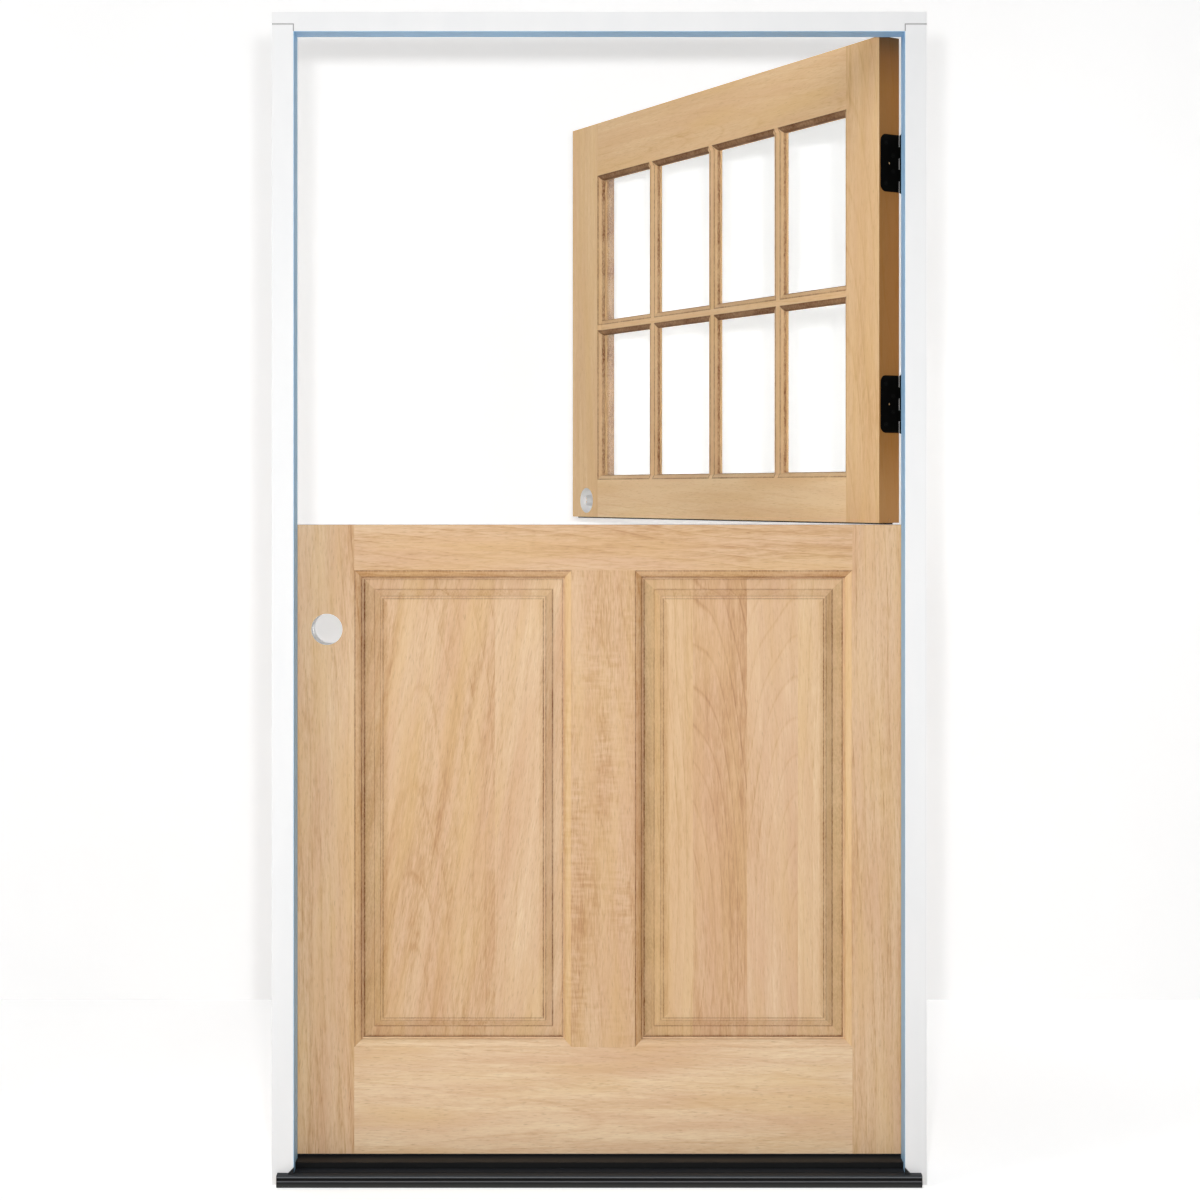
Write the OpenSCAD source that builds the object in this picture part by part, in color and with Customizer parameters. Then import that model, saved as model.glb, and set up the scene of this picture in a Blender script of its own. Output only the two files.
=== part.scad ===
// Dutch stable door in its frame. Two leaves hang one above the other on butt hinges:
// the lower one holds two raised panels, the upper one eight panes of glass.
// The outside looks towards -Y, the hinges are on the +X side, and both leaves
// swing inwards, towards +Y. Lengths are in millimetres, and the floor is at z = 0.

/* [Leaves] */
// Width of each leaf
leaf_w = 1071; // [900:1:1250]
// Thickness of each leaf
leaf_t = 44.5; // [42:0.5:54]
// Height of the lower leaf
lower_leaf_h = 1096.5; // [900:0.5:1300]
// Height of the upper leaf
upper_leaf_h = 856.5; // [700:0.5:1000]
// Angle at which the upper leaf stands open
upper_open = 59; // [0:1:165]
// Gap between a leaf and the frame beside and above it
edge_gap = 3; // [2:0.5:4]
// Gap between the two leaves
meeting_gap = 3; // [2:0.5:5]
// Gap between the lower leaf and the sill
bottom_gap = 4.6; // [3.6:0.2:8]

/* [Frame] */
// Thickness of the side jambs behind the stop
jamb_t = 25; // [22:0.5:40]
// Thickness of the head jamb above the stop
head_t = 21; // [18:0.5:40]
// Width of the stop that a leaf closes against
stop_w = 13; // [11:0.5:20]
// Depth of the stop, from the outside edge of the jamb
stop_d = 42; // [30:0.5:60]
// Gap between the stop and a leaf, filled by the seal
seal_gap = 5.5; // [4:0.5:8]

/* [Sill] */
// Height of the sill
sill_h = 33.4; // [31:0.2:45]
// Reach of the nose in front of the jambs
nose_out = 14; // [10:0.5:25]
// Height of the nose
nose_h = 20.4; // [17:0.2:22]
// Length of each jamb's outer edge that the nose leaves bare
nose_short = 10; // [0:0.5:20]
// Distance of the riser behind the jamb's outside edge
riser_y = 16; // [10:0.5:24]
// Rise of the tread from its nose to the riser
tread_rise = 2.6; // [1:0.2:4]
// Wall of the metal tread
tread_wall = 2.2; // [1.8:0.1:3]
// Width of the triangular corner pads
pad_w = 9; // [6:0.5:14]

/* [Stiles and rails] */
// Face width of the lock stiles
lock_stile_w = 108; // [100:0.5:130]
// Face width of the hinge stiles
hinge_stile_w = 94; // [88:0.5:120]
// Face width of the lower leaf's middle upright
mullion_w = 110; // [90:0.5:150]
// Face height of the lower leaf's top rail
lower_top_rail_h = 79; // [70:0.5:120]
// Face height of the lower leaf's bottom rail
lower_bottom_rail_h = 185.6; // [150:0.2:240]
// Face height of the upper leaf's top rail
upper_top_rail_h = 115; // [90:0.5:150]
// Face height of the upper leaf's bottom rail
upper_bottom_rail_h = 82; // [80:0.5:120]
// Radius of the dowels in the corner joints
dowel_r = 6; // [4:0.5:7]
// Length of the dowels
dowel_l = 90; // [60:1:95]

/* [Panels] */
// Width of the moulding that frames a panel
stick_w = 15.5; // [11:0.5:20]
// Depth of that moulding
stick_d = 9.8; // [8:0.2:11]
// Depth of the groove that holds a panel
groove_d = 11; // [8:0.5:12]
// Thickness of a panel's edge
tongue_t = 16; // [12:0.5:18]
// Width of the flat margin that shows round a panel
margin_w = 18.5; // [10:0.5:25]
// Width of the slope between the margin and the field
slope_w = 11.5; // [8:0.5:25]
// Width of the small step at the edge of the field
bead_step_w = 4; // [1.5:0.5:6]
// Depth of the raised field below the leaf's face
field_set = 4.5; // [3:0.5:6]

/* [Glazing] */
// Thickness of the glass
glass_t = 4; // [3:0.5:6]
// Depth of the glass below the leaf's outside face
glass_set = 13; // [12:0.5:16]
// Width of the moulding round the glass, and of the beads
glass_stick_w = 9.5; // [8:0.5:11]
// Width of a glazing bar, from glass to glass
bar_w = 32.5; // [30:0.5:45]
// Width of the flat face of a glazing bar
bar_face = 13; // [9:0.5:18]
// Depth of that face below the leaf's face
bar_set = 5; // [3:0.5:7]
// Height of a glazing bead
bead_h = 8; // [6:0.5:14]

/* [Hinges] */
// Height of a hinge
hinge_h = 101.6; // [90:0.2:127]
// Thickness of a hinge plate
plate_t = 2.6; // [2:0.1:3.4]
// Wood left between a hinge plate and the leaf's outside face
plate_back = 2.5; // [2:0.5:8]
// Radius of a hinge plate's rounded corners
plate_r = 12; // [6:0.5:15]
// Radius of the knuckles
knuckle_r = 6; // [5.4:0.1:6.4]
// Radius of the hinge pins
pin_r = 3; // [2.5:0.1:3.5]
// Distance of the pin beyond the leaf's inside face
pin_out = 7; // [7:0.5:9]
// Height of the upper leaf's lower hinge above the leaf's bottom edge
upper_hinge_low = 209.5; // [150:0.5:260]
// Distance of the upper leaf's upper hinge below the leaf's top edge
upper_hinge_high = 222; // [180:0.5:260]
// Distance of the lower leaf's hinges from the leaf's ends
lower_hinge_end = 215; // [160:0.5:300]

/* [Lock bores] */
// Radius of the bore for a lock
bore_r = 27; // [25:0.5:28]
// Distance of the bore's centre from the leaf's edge
bore_back = 60.3; // [58:0.1:64]
// Height of the upper bore's centre above the leaf's bottom edge
upper_bore_up = 36; // [34.5:0.5:38]
// Distance of the lower bore's centre below the leaf's top edge
lower_bore_down = 182; // [140:0.5:400]
// Radius of the latch bore in the leaf's edge
latch_r = 12.7; // [10:0.1:13]
// Height of the recess for a latch plate
latch_plate_h = 57.2; // [50:0.2:65]
// Depth of that recess
latch_plate_d = 3.2; // [2:0.2:5]

/* [Fits] */
// Clearance between the pins and the knuckles
pin_clear = 0.05; // [0.02:0.01:0.08]
// Clearance between parts that slip together
slip = 0.1; // [0.05:0.01:0.2]
// Clearance of seals, glass and sill from what they meet
ease = 0.3; // [0.2:0.05:0.4]
// Gap between neighbouring knuckles
knuckle_gap = 0.4; // [0.3:0.05:0.8]
// Room for a panel to swell in its groove
panel_play = 0.8; // [0.5:0.1:0.9]
// Width of the kerfs that hold the seals
kerf_w = 2.6; // [2:0.1:3]
// Depth of those kerfs
kerf_d = 7; // [5:0.5:8]

/* [Screws] */
// Radius of a screw's head
screw_head_r = 4.2; // [3.6:0.1:4.6]
// Radius of a screw's shank
screw_r = 2.2; // [1.8:0.1:2.6]
// Length of the hinge screws in the leaves
leaf_screw_l = 28; // [20:1:35]
// Length of the hinge screws in the jamb
jamb_screw_l = 20; // [15:1:21]
// Length of the screws that hold the frame together
frame_screw_l = 65; // [50:1:80]

/* [Hidden] */
$fn = 64;
wood = "#dbb994";
white_paint = "#f4f4f2";
black_metal = "#161616";
dark_metal = "#2b2e30";
rubber_grey = "#26282a";
bright_steel = "#b9bcbf";
glass_tint = "#dfe9ee55";

// Bodies of the leaves and of the frame
leaf_x1 = leaf_w / 2;
leaf_x0 = -leaf_x1;
leaf_y0 = stop_d + seal_gap;
leaf_y1 = leaf_y0 + leaf_t;
leaf_mid = leaf_y0 + leaf_t / 2;
low_z0 = sill_h + bottom_gap;
low_z1 = low_z0 + lower_leaf_h;
up_z0 = low_z1 + meeting_gap;
up_z1 = up_z0 + upper_leaf_h;
rebate_x = leaf_x1 + edge_gap;
rebate_z = up_z1 + edge_gap;
open_x = rebate_x - stop_w;
open_z = rebate_z - stop_w;
frame_x = rebate_x + jamb_t;
frame_z = rebate_z + head_t;
frame_d = leaf_y1;

// Face lines of the stiles and rails
lock_line = leaf_x0 + lock_stile_w;
hinge_line = leaf_x1 - hinge_stile_w;
mullion_mid = (lock_line + hinge_line) / 2;
panel_open_w = (hinge_line - lock_line - mullion_w) / 2;
panel_z0 = low_z0 + lower_bottom_rail_h;
panel_z1 = low_z1 - lower_top_rail_h;
panel_open_h = panel_z1 - panel_z0;
panel_mid_z = (panel_z0 + panel_z1) / 2;
left_panel_x = lock_line + panel_open_w / 2;
right_panel_x = hinge_line - panel_open_w / 2;
glazed_z0 = up_z0 + upper_bottom_rail_h;
glazed_z1 = up_z1 - upper_top_rail_h;
glazed_w = hinge_line - lock_line;
glazed_h = glazed_z1 - glazed_z0;
glazed_mid_z = (glazed_z0 + glazed_z1) / 2;

// Moulding round the panels: a quirk, a quarter round and a flat lip
quirk = 1.2;
lip_w = 2.5;
lip_drop = 0.8;
round_steps = 6;
overlap = 1;
groove_half = tongue_t / 2 + ease;

// Panes: a grid of equal lights between the bars
columns = 4;
rows = 2;
light_w = (glazed_w - 2 * glass_stick_w - (columns - 1) * bar_w) / columns;
light_h = (glazed_h - 2 * glass_stick_w - (rows - 1) * bar_w) / rows;
glass_lip = 1.2;
glass_play = 0.8;
seat_depth = glass_set - ease;
bead_depth = glass_set + glass_t + ease;
bar_back = bead_depth + bead_h;
web_w = bar_w - 2 * glass_stick_w;

// Hinges: five knuckles, the odd ones on the jamb
pin_x = leaf_x1 + edge_gap / 2;
pin_y = leaf_y1 + pin_out;
knuckles = 5;
plate_w = leaf_t - plate_back;
pin_head_h = 3;
pin_tip_h = 2;
hinge_heights = [
    low_z0 + lower_hinge_end,
    low_z1 - lower_hinge_end,
    up_z0 + upper_hinge_low,
    up_z1 - upper_hinge_high
];
plate_screw_end = 15;
plate_screw_mid = 14;
plate_screw_zig = 8;
plate_screw_spots = [
    [-plate_screw_zig, plate_screw_end - hinge_h / 2],
    [plate_screw_zig, -plate_screw_mid],
    [plate_screw_zig, plate_screw_mid],
    [-plate_screw_zig, hinge_h / 2 - plate_screw_end]
];
screw_head_h = screw_head_r - screw_r;
screw_tip_h = 4;
slot_w = 0.9;
slot_l = 4.4;
slot_d = 1.1;

// Sill, seals and the screws of the frame
tread_z = nose_h + tread_rise;
nose_x = frame_x - nose_short;
nose_round = 1.6;
groove_w = 1.8;
groove_cut = 1;
nose_groove_down = 3.4;
nose_ridge_down = 7.6;
tread_groove_w = 1.2;
tread_groove_cut = 0.7;
tread_fall = tread_rise / (riser_y + nose_out);
cap_chamfer = 1;
pad_h = pad_w;
pad_d = 7;
frame_screw_y = [stop_d / 2, (stop_d + frame_d) / 2];
head_screw_x = rebate_x + jamb_t / 2;
sill_screw_z = 11;
seal_edge = 1.5;
seal_chamfer = 2;
kerf_edge = 1.4;
barb_slack = 0.15;
meeting_seal_w = 20;
sweep_edge = 7;
sweep_plate = 1.2;
sweep_fins = 3;
sweep_fin_w = 2.4;

// Joints held by dowels
dowel_inset = 18;
mullion_dowel_x = 30;
dowel_room = 1;
upper_bore_z = up_z0 + upper_bore_up;
lower_bore_z = low_z1 - lower_bore_down;
bore_x = leaf_x0 + bore_back;

// Plain shapes and placing

// Box between two corners
module block(x0, x1, y0, y1, z0, z1) {
    translate([x0, y0, z0])
        cube([x1 - x0, y1 - y0, z1 - z0]);
}

// Extrudes a section drawn in (y, z) along X
module along_x(x0, x1) {
    translate([x0, 0, 0])
        rotate([90, 0, 90])
            linear_extrude(x1 - x0)
                children();
}

// Extrudes a section drawn in (x, z) along Y
module along_y(y0, y1) {
    translate([0, y1, 0])
        rotate([90, 0, 0])
            linear_extrude(y1 - y0)
                children();
}

// Extrudes a section drawn in (x, y) along Z
module along_z(z0, z1) {
    translate([0, 0, z0])
        linear_extrude(z1 - z0)
            children();
}

// Turns the closed upper leaf about its pins to where it stands open
module swung_open() {
    translate([pin_x, pin_y, 0])
        rotate([0, 0, -upper_open])
            translate([-pin_x, -pin_y, 0])
                children();
}

// Makes a piece on one side of the frame and its mirror image
module both_sides() {
    children();
    mirror([1, 0, 0])
        children();
}

// Mouldings, drawn as [distance from the face line, depth below the face]

// Quarter round that falls over a width and a depth from a starting point
function quarter_round(start, w, h) = [
    for (i = [0:round_steps])
        let (a = 90 * i / round_steps)
            [start[0] + w * sin(a), start[1] + h * (1 - cos(a))]
];

// The same outline seen from the other face of the leaf
function from_inside(points) = [
    for (i = [len(points) - 1:-1:0]) [points[i][0], leaf_t - points[i][1]]
];

panel_round = quarter_round([0, quirk], stick_w - lip_w, stick_d - lip_drop - quirk);
panel_stick_face = concat(
    [[-overlap, quirk]],
    panel_round,
    [[stick_w - lip_w, stick_d], [stick_w, stick_d]]
);
panel_groove = [
    [stick_w, leaf_t / 2 - groove_half],
    [stick_w - groove_d, leaf_t / 2 - groove_half],
    [stick_w - groove_d, leaf_t / 2 + groove_half],
    [stick_w, leaf_t / 2 + groove_half]
];
panel_moulding = concat(panel_stick_face, panel_groove, from_inside(panel_stick_face));

glass_moulding = concat(
    [[-overlap, quirk]],
    quarter_round([0, quirk], glass_stick_w, seat_depth - glass_lip - quirk),
    [[glass_stick_w, seat_depth], [-overlap, seat_depth]]
);

bead_moulding = [
    [0, bead_depth],
    [glass_stick_w, bead_depth],
    [glass_stick_w, bead_depth + glass_lip],
    [glass_stick_w * 0.8, bead_depth + bead_h * 0.55],
    [glass_stick_w * 0.3, bead_depth + bead_h],
    [0, bead_depth + bead_h]
];

// One mitred side of the moulding round an opening, below its centre.
// The side is as long as the opening, and offset by half the other size.
module moulding_side(points, length, half, mitre_gap) {
    w = max([for (p = points) p[0]]);
    end = length / 2 - mitre_gap / 2;
    intersection() {
        along_x(-end, end)
            polygon([for (p = points) [leaf_y0 + p[1], p[0] - half]]);
        along_y(leaf_y0 - overlap, leaf_y1 + overlap)
            polygon([
                [-end, -half - overlap], [end, -half - overlap], [end, -half],
                [end - w, w - half], [w - end, w - half], [-end, -half]
            ]);
    }
}

// The sides of an opening centred at (x, z): 0 below, 90 left, 180 above, 270 right
module opening_side(points, x, z, w, h, turn, mitre_gap = 0) {
    level = turn == 0 || turn == 180;
    translate([x, 0, z])
        rotate([0, turn, 0])
            moulding_side(points, level ? w : h, (level ? h : w) / 2, mitre_gap);
}

// Fasteners, pointing along +Z from a head that is flush at z = 0

// Countersunk hole for a screw, with its cone carried on past the surface
module screw_hole(length) {
    translate([0, 0, -overlap])
        cylinder(
            h = screw_head_h + overlap,
            r1 = screw_head_r + slip + overlap,
            r2 = screw_r + slip
        );
    cylinder(h = length + slip, r = screw_r + slip);
}

// Countersunk screw with a crossed slot and a pointed tip
module screw(length) {
    difference() {
        union() {
            cylinder(h = screw_head_h, r1 = screw_head_r, r2 = screw_r);
            cylinder(h = length - screw_tip_h, r = screw_r);
            translate([0, 0, length - screw_tip_h])
                cylinder(h = screw_tip_h, r1 = screw_r, r2 = screw_r / 4);
        }
        for (a = [0, 90])
            rotate([0, 0, a])
                translate([-slot_l / 2, -slot_w / 2, -overlap])
                    cube([slot_l, slot_w, slot_d + overlap]);
    }
}

// Puts a part made along +Z on the leaf's hinge edge, pointing into the leaf
module into_leaf(y, z) {
    translate([leaf_x1, y, z])
        rotate([0, -90, 0])
            children();
}

// Puts a part made along +Z on the jamb's rebate, pointing into the jamb
module into_jamb(y, z) {
    translate([rebate_x, y, z])
        rotate([0, 90, 0])
            children();
}

// Repeats a part at the four screws of one hinge plate, as [y, z]
module at_leaf_screws(z) {
    for (s = plate_screw_spots)
        into_leaf(leaf_y1 - plate_w / 2 + s[0], z + s[1])
            children();
}

module at_jamb_screws(z) {
    for (s = plate_screw_spots)
        into_jamb(leaf_y1 - plate_w / 2 + s[0], z + s[1])
            children();
}

// Hinges

// Outline of a hinge plate in (y, z), from the leaf's inside face outwards
module plate_outline() {
    translate([-plate_w, plate_r - hinge_h / 2])
        square([plate_w, hinge_h - 2 * plate_r]);
    translate([plate_r - plate_w, -hinge_h / 2])
        square([plate_w - plate_r, hinge_h]);
    for (s = [-1, 1])
        translate([plate_r - plate_w, s * (hinge_h / 2 - plate_r)])
            circle(plate_r);
}

// Hinge plate between two x values, with its centre at height z
module plate(x0, x1, z) {
    translate([0, leaf_y1, z])
        along_x(x0, x1)
            plate_outline();
}

// Knuckles of one half of a hinge, with the webs that join them to a plate
module knuckle_row(x0, x1, z, first) {
    pitch = hinge_h / knuckles;
    for (k = [first:2:knuckles - 1]) {
        z0 = z - hinge_h / 2 + k * pitch + knuckle_gap / 2;
        z1 = z0 + pitch - knuckle_gap;
        translate([pin_x, pin_y, z0])
            cylinder(h = z1 - z0, r = knuckle_r);
        block(x0, x1, leaf_y1 - overlap, pin_y, z0, z1);
    }
}

// Bore of a hinge's knuckles
module knuckle_bore(z) {
    translate([pin_x, pin_y, z - hinge_h])
        cylinder(h = 2 * hinge_h, r = pin_r + pin_clear);
}

module door_hinge_leaf(i) {
    z = hinge_heights[i];
    color(black_metal)
        difference() {
            union() {
                plate(leaf_x1 - plate_t, leaf_x1, z);
                knuckle_row(leaf_x1 - plate_t, leaf_x1, z, 1);
            }
            knuckle_bore(z);
            at_leaf_screws(z)
                screw_hole(leaf_screw_l);
            into_leaf(leaf_y1 - plate_w / 2, z)
                cylinder(h = 2 * plate_t, r = screw_r + slip);
        }
}

module jamb_hinge_leaf(i) {
    z = hinge_heights[i];
    color(black_metal)
        difference() {
            union() {
                plate(rebate_x, rebate_x + plate_t, z);
                knuckle_row(rebate_x, rebate_x + plate_t, z, 0);
            }
            knuckle_bore(z);
            at_jamb_screws(z)
                screw_hole(jamb_screw_l);
            into_jamb(leaf_y1 - plate_w / 2, z)
                cylinder(h = 2 * plate_t, r = screw_r + slip);
        }
}

// Pin with a button head on the top knuckle and a tip under the bottom one
module hinge_pin(i) {
    z1 = hinge_h / 2 - knuckle_gap / 2;
    color(black_metal)
        translate([pin_x, pin_y, hinge_heights[i]]) {
            translate([0, 0, -z1 - pin_tip_h])
                cylinder(h = 2 * z1 + pin_tip_h + pin_head_h, r = pin_r);
            translate([0, 0, z1])
                cylinder(h = pin_head_h, r1 = knuckle_r, r2 = pin_r);
            translate([0, 0, -z1 - pin_tip_h])
                cylinder(h = pin_tip_h, r1 = pin_r, r2 = knuckle_r);
        }
}

// Recess and screw holes for a hinge in a leaf's stile
module leaf_hinge_cut(i) {
    z = hinge_heights[i];
    plate(leaf_x1 - plate_t, leaf_x1 + overlap, z);
    at_leaf_screws(z)
        screw_hole(leaf_screw_l);
}

// Recess and screw holes for a hinge in the jamb
module jamb_hinge_cut(i) {
    z = hinge_heights[i];
    plate(rebate_x - overlap, rebate_x + plate_t, z);
    at_jamb_screws(z)
        screw_hole(jamb_screw_l);
}

module leaf_hinge_screws(first) {
    color(black_metal)
        for (i = [first, first + 1])
            at_leaf_screws(hinge_heights[i])
                screw(leaf_screw_l);
}

module jamb_hinge_screws() {
    color(black_metal)
        for (z = hinge_heights)
            at_jamb_screws(z)
                screw(jamb_screw_l);
}

// Frame

// Screws of the frame: down through the head, and inwards through the legs
module at_head_screws() {
    for (y = frame_screw_y)
        translate([head_screw_x, y, frame_z])
            rotate([180, 0, 0])
                children();
}

module at_sill_screws() {
    for (y = frame_screw_y)
        translate([frame_x, y, sill_screw_z])
            rotate([0, -90, 0])
                children();
}

module frame_screw_holes() {
    both_sides() {
        at_head_screws()
            screw_hole(frame_screw_l);
        at_sill_screws()
            screw_hole(frame_screw_l);
    }
}

module frame_screws() {
    color(bright_steel)
        both_sides() {
            at_head_screws()
                screw(frame_screw_l);
            at_sill_screws()
                screw(frame_screw_l);
        }
}

// Rebated leg on the hinge side, with the kerf for its seal
module leg() {
    difference() {
        along_z(0, rebate_z)
            polygon([
                [open_x, 0], [frame_x, 0], [frame_x, frame_d],
                [rebate_x, frame_d], [rebate_x, stop_d], [open_x, stop_d]
            ]);
        block(
            rebate_x - kerf_edge - kerf_w, rebate_x - kerf_edge,
            stop_d - kerf_d, stop_d + overlap, sill_h, rebate_z + overlap
        );
        frame_screw_holes();
    }
}

module hinge_jamb() {
    color(white_paint)
        difference() {
            leg();
            for (i = [0:len(hinge_heights) - 1])
                jamb_hinge_cut(i);
        }
}

module strike_jamb() {
    color(white_paint)
        mirror([1, 0, 0])
            leg();
}

// Head board over both legs, with its stop between them
module head_jamb() {
    color(white_paint)
        difference() {
            union() {
                block(-frame_x, frame_x, 0, frame_d, rebate_z, frame_z);
                block(-open_x, open_x, 0, stop_d, open_z, rebate_z + overlap);
            }
            block(
                -open_x - overlap, open_x + overlap, stop_d - kerf_d, stop_d + overlap,
                rebate_z - kerf_edge - kerf_w, rebate_z - kerf_edge
            );
            frame_screw_holes();
        }
}

// Section of a seal from the stop's edge to the rebate, as [across, depth]
module seal_section(edge, rebate) {
    y1 = leaf_y0 - ease;
    polygon([
        [edge + seal_edge, stop_d], [rebate - ease, stop_d], [rebate - ease, y1 - seal_chamfer],
        [rebate - ease - seal_chamfer, y1], [edge + seal_edge + seal_chamfer, y1],
        [edge + seal_edge, y1 - seal_chamfer]
    ]);
    translate([rebate - kerf_edge - kerf_w + barb_slack, stop_d - kerf_d + ease])
        square([kerf_w - 2 * barb_slack, kerf_d]);
}

module hinge_seal() {
    color(rubber_grey)
        along_z(sill_h + ease, rebate_z - ease)
            seal_section(open_x, rebate_x);
}

module strike_seal() {
    color(rubber_grey)
        mirror([1, 0, 0])
            along_z(sill_h + ease, rebate_z - ease)
                seal_section(open_x, rebate_x);
}

module head_seal() {
    color(rubber_grey)
        along_x(-open_x, open_x)
            mirror([1, -1, 0])
                seal_section(open_z, rebate_z);
}

// Sill

// Height of the tread at a given depth
function tread_height(y) = nose_h + (y + nose_out) * tread_fall;

// Space of both legs, widened by the sill's clearance
module leg_room() {
    top = 2 * sill_h;
    both_sides() {
        block(open_x - ease, frame_x, -ease, stop_d + ease, -overlap, top);
        block(rebate_x - ease, frame_x, stop_d - overlap, frame_d + overlap, -overlap, top);
    }
}

module sill_base() {
    under = tread_wall + ease;
    color(wood)
        difference() {
            along_x(-nose_x + tread_wall, nose_x - tread_wall)
                polygon([
                    [under - nose_out, 0],
                    [frame_d, 0],
                    [frame_d, tread_z],
                    [riser_y + under, tread_z],
                    [riser_y + under, tread_height(riser_y + under) - under],
                    [under - nose_out, tread_height(under - nose_out) - under]
                ]);
            leg_room();
            frame_screw_holes();
        }
}

// Metal tread: grooved nose, sloping top and a riser in front of the cap
module sill_tread() {
    z_groove = nose_h - nose_groove_down;
    z_ridge = nose_h - nose_ridge_down;
    in_y = tread_wall - nose_out;
    color(dark_metal)
        difference() {
            along_x(-nose_x, nose_x)
                polygon([
                    [-nose_out, 0],
                    [-nose_out, z_ridge],
                    [groove_cut / 2 - nose_out, z_ridge + groove_cut / 2],
                    [groove_cut / 2 - nose_out, z_groove - groove_w],
                    [groove_cut - nose_out, z_groove - groove_w],
                    [groove_cut - nose_out, z_groove],
                    [-nose_out, z_groove],
                    [-nose_out, nose_h - nose_round],
                    [nose_round - nose_out, tread_height(nose_round - nose_out)],
                    [-tread_groove_w, tread_height(-tread_groove_w)],
                    [-tread_groove_w, tread_height(-tread_groove_w) - tread_groove_cut],
                    [0, tread_height(0) - tread_groove_cut],
                    [0, tread_height(0)],
                    [riser_y, tread_z],
                    [riser_y, sill_h],
                    [riser_y + tread_wall, sill_h],
                    [riser_y + tread_wall, tread_height(riser_y + tread_wall) - tread_wall],
                    [in_y, tread_height(in_y) - tread_wall],
                    [in_y, 0]
                ]);
            leg_room();
        }
}

module sill_cap() {
    y0 = riser_y + tread_wall + ease;
    color(dark_metal)
        difference() {
            along_x(-nose_x, nose_x)
                polygon([
                    [y0, tread_z],
                    [frame_d, tread_z],
                    [frame_d, sill_h - cap_chamfer],
                    [frame_d - cap_chamfer, sill_h],
                    [y0 + cap_chamfer, sill_h],
                    [y0, sill_h - cap_chamfer]
                ]);
            leg_room();
        }
}

// Triangular pads that close the corners between the nose and the legs
module sill_corner_pads() {
    color(rubber_grey)
        both_sides()
            difference() {
                along_y(-pad_d, -slip)
                    polygon([
                        [open_x, nose_h - overlap],
                        [open_x + pad_w, nose_h - overlap],
                        [open_x + pad_w, tread_height(0)],
                        [open_x, tread_height(0) + pad_h]
                    ]);
                along_x(open_x - overlap, open_x + pad_w + overlap)
                    polygon([
                        [-2 * nose_out, 0],
                        [nose_out, 0],
                        [nose_out, tread_height(nose_out) + slip],
                        [-2 * nose_out, tread_height(-2 * nose_out) + slip]
                    ]);
            }
}

// Dowelled joints

// Dowel across an upright joint at x, or along one at z
module level_dowel(x, z, grow) {
    l = dowel_l + 2 * grow * dowel_room;
    translate([x - l / 2, leaf_mid, z])
        rotate([0, 90, 0])
            cylinder(h = l, r = dowel_r + grow * slip);
}

module upright_dowel(x, z, grow) {
    l = dowel_l + 2 * grow * dowel_room;
    translate([x, leaf_mid, z - l / 2])
        cylinder(h = l, r = dowel_r + grow * slip);
}

// Dowels of the lower leaf, or with grow = 1 their holes
module lower_dowel_set(grow) {
    bottom_mid = low_z0 + lower_bottom_rail_h / 2;
    for (x = [lock_line, hinge_line]) {
        for (z = [low_z0 + 2 * dowel_inset, bottom_mid, panel_z0 - dowel_inset])
            level_dowel(x, z, grow);
        for (z = [panel_z1 + dowel_inset, low_z1 - dowel_inset])
            level_dowel(x, z, grow);
    }
    for (s = [-1, 1], z = [panel_z0, panel_z1])
        upright_dowel(mullion_mid + s * mullion_dowel_x, z, grow);
}

// Dowels of the upper leaf; the lock stile's bore leaves room for one below
module upper_dowel_set(grow) {
    for (x = [lock_line, hinge_line], z = [glazed_z1 + dowel_inset, up_z1 - dowel_inset])
        level_dowel(x, z, grow);
    for (z = [up_z0 + dowel_inset, glazed_z0 - dowel_inset])
        level_dowel(hinge_line, z, grow);
    level_dowel(lock_line, (upper_bore_z + bore_r + glazed_z0) / 2, grow);
}

module lower_dowels() {
    color(wood)
        lower_dowel_set(0);
}

module upper_dowels() {
    color(wood)
        swung_open()
            upper_dowel_set(0);
}

// Lock bore through a stile, latch bore in its edge and the recess for a latch plate
module lock_cut(z) {
    translate([bore_x, leaf_y0 - overlap, z])
        rotate([-90, 0, 0])
            cylinder(h = leaf_t + 2 * overlap, r = bore_r);
    translate([leaf_x0 - overlap, leaf_mid, z])
        rotate([0, 90, 0])
            cylinder(h = bore_back + overlap, r = latch_r);
    translate([0, leaf_mid, z])
        along_x(leaf_x0 - overlap, leaf_x0 + latch_plate_d) {
            square([2 * latch_r, latch_plate_h - 2 * latch_r], center = true);
            for (s = [-1, 1])
                translate([0, s * (latch_plate_h / 2 - latch_r)])
                    circle(latch_r);
        }
}

// Lower leaf

// Kerfs for the sweep, at two depths under the lower leaf
sweep_kerfs = [leaf_y0 + leaf_t / 3, leaf_y1 - leaf_t / 3];

module sweep_kerf_cut() {
    for (y = sweep_kerfs)
        block(
            leaf_x0 - overlap, leaf_x1 + overlap,
            y - kerf_w / 2, y + kerf_w / 2, low_z0 - overlap, low_z0 + kerf_d
        );
}

// Moulding on one side of each of two panel openings
module panel_side(x, turn) {
    opening_side(panel_moulding, x, panel_mid_z, panel_open_w, panel_open_h, turn);
}

module lower_hinge_stile() {
    color(wood)
        difference() {
            union() {
                block(hinge_line, leaf_x1, leaf_y0, leaf_y1, low_z0, low_z1);
                panel_side(right_panel_x, 270);
            }
            for (i = [0, 1])
                leaf_hinge_cut(i);
            lower_dowel_set(1);
            sweep_kerf_cut();
        }
}

module lower_lock_stile() {
    color(wood)
        difference() {
            union() {
                block(leaf_x0, lock_line, leaf_y0, leaf_y1, low_z0, low_z1);
                panel_side(left_panel_x, 90);
            }
            lock_cut(lower_bore_z);
            lower_dowel_set(1);
            sweep_kerf_cut();
        }
}

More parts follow.
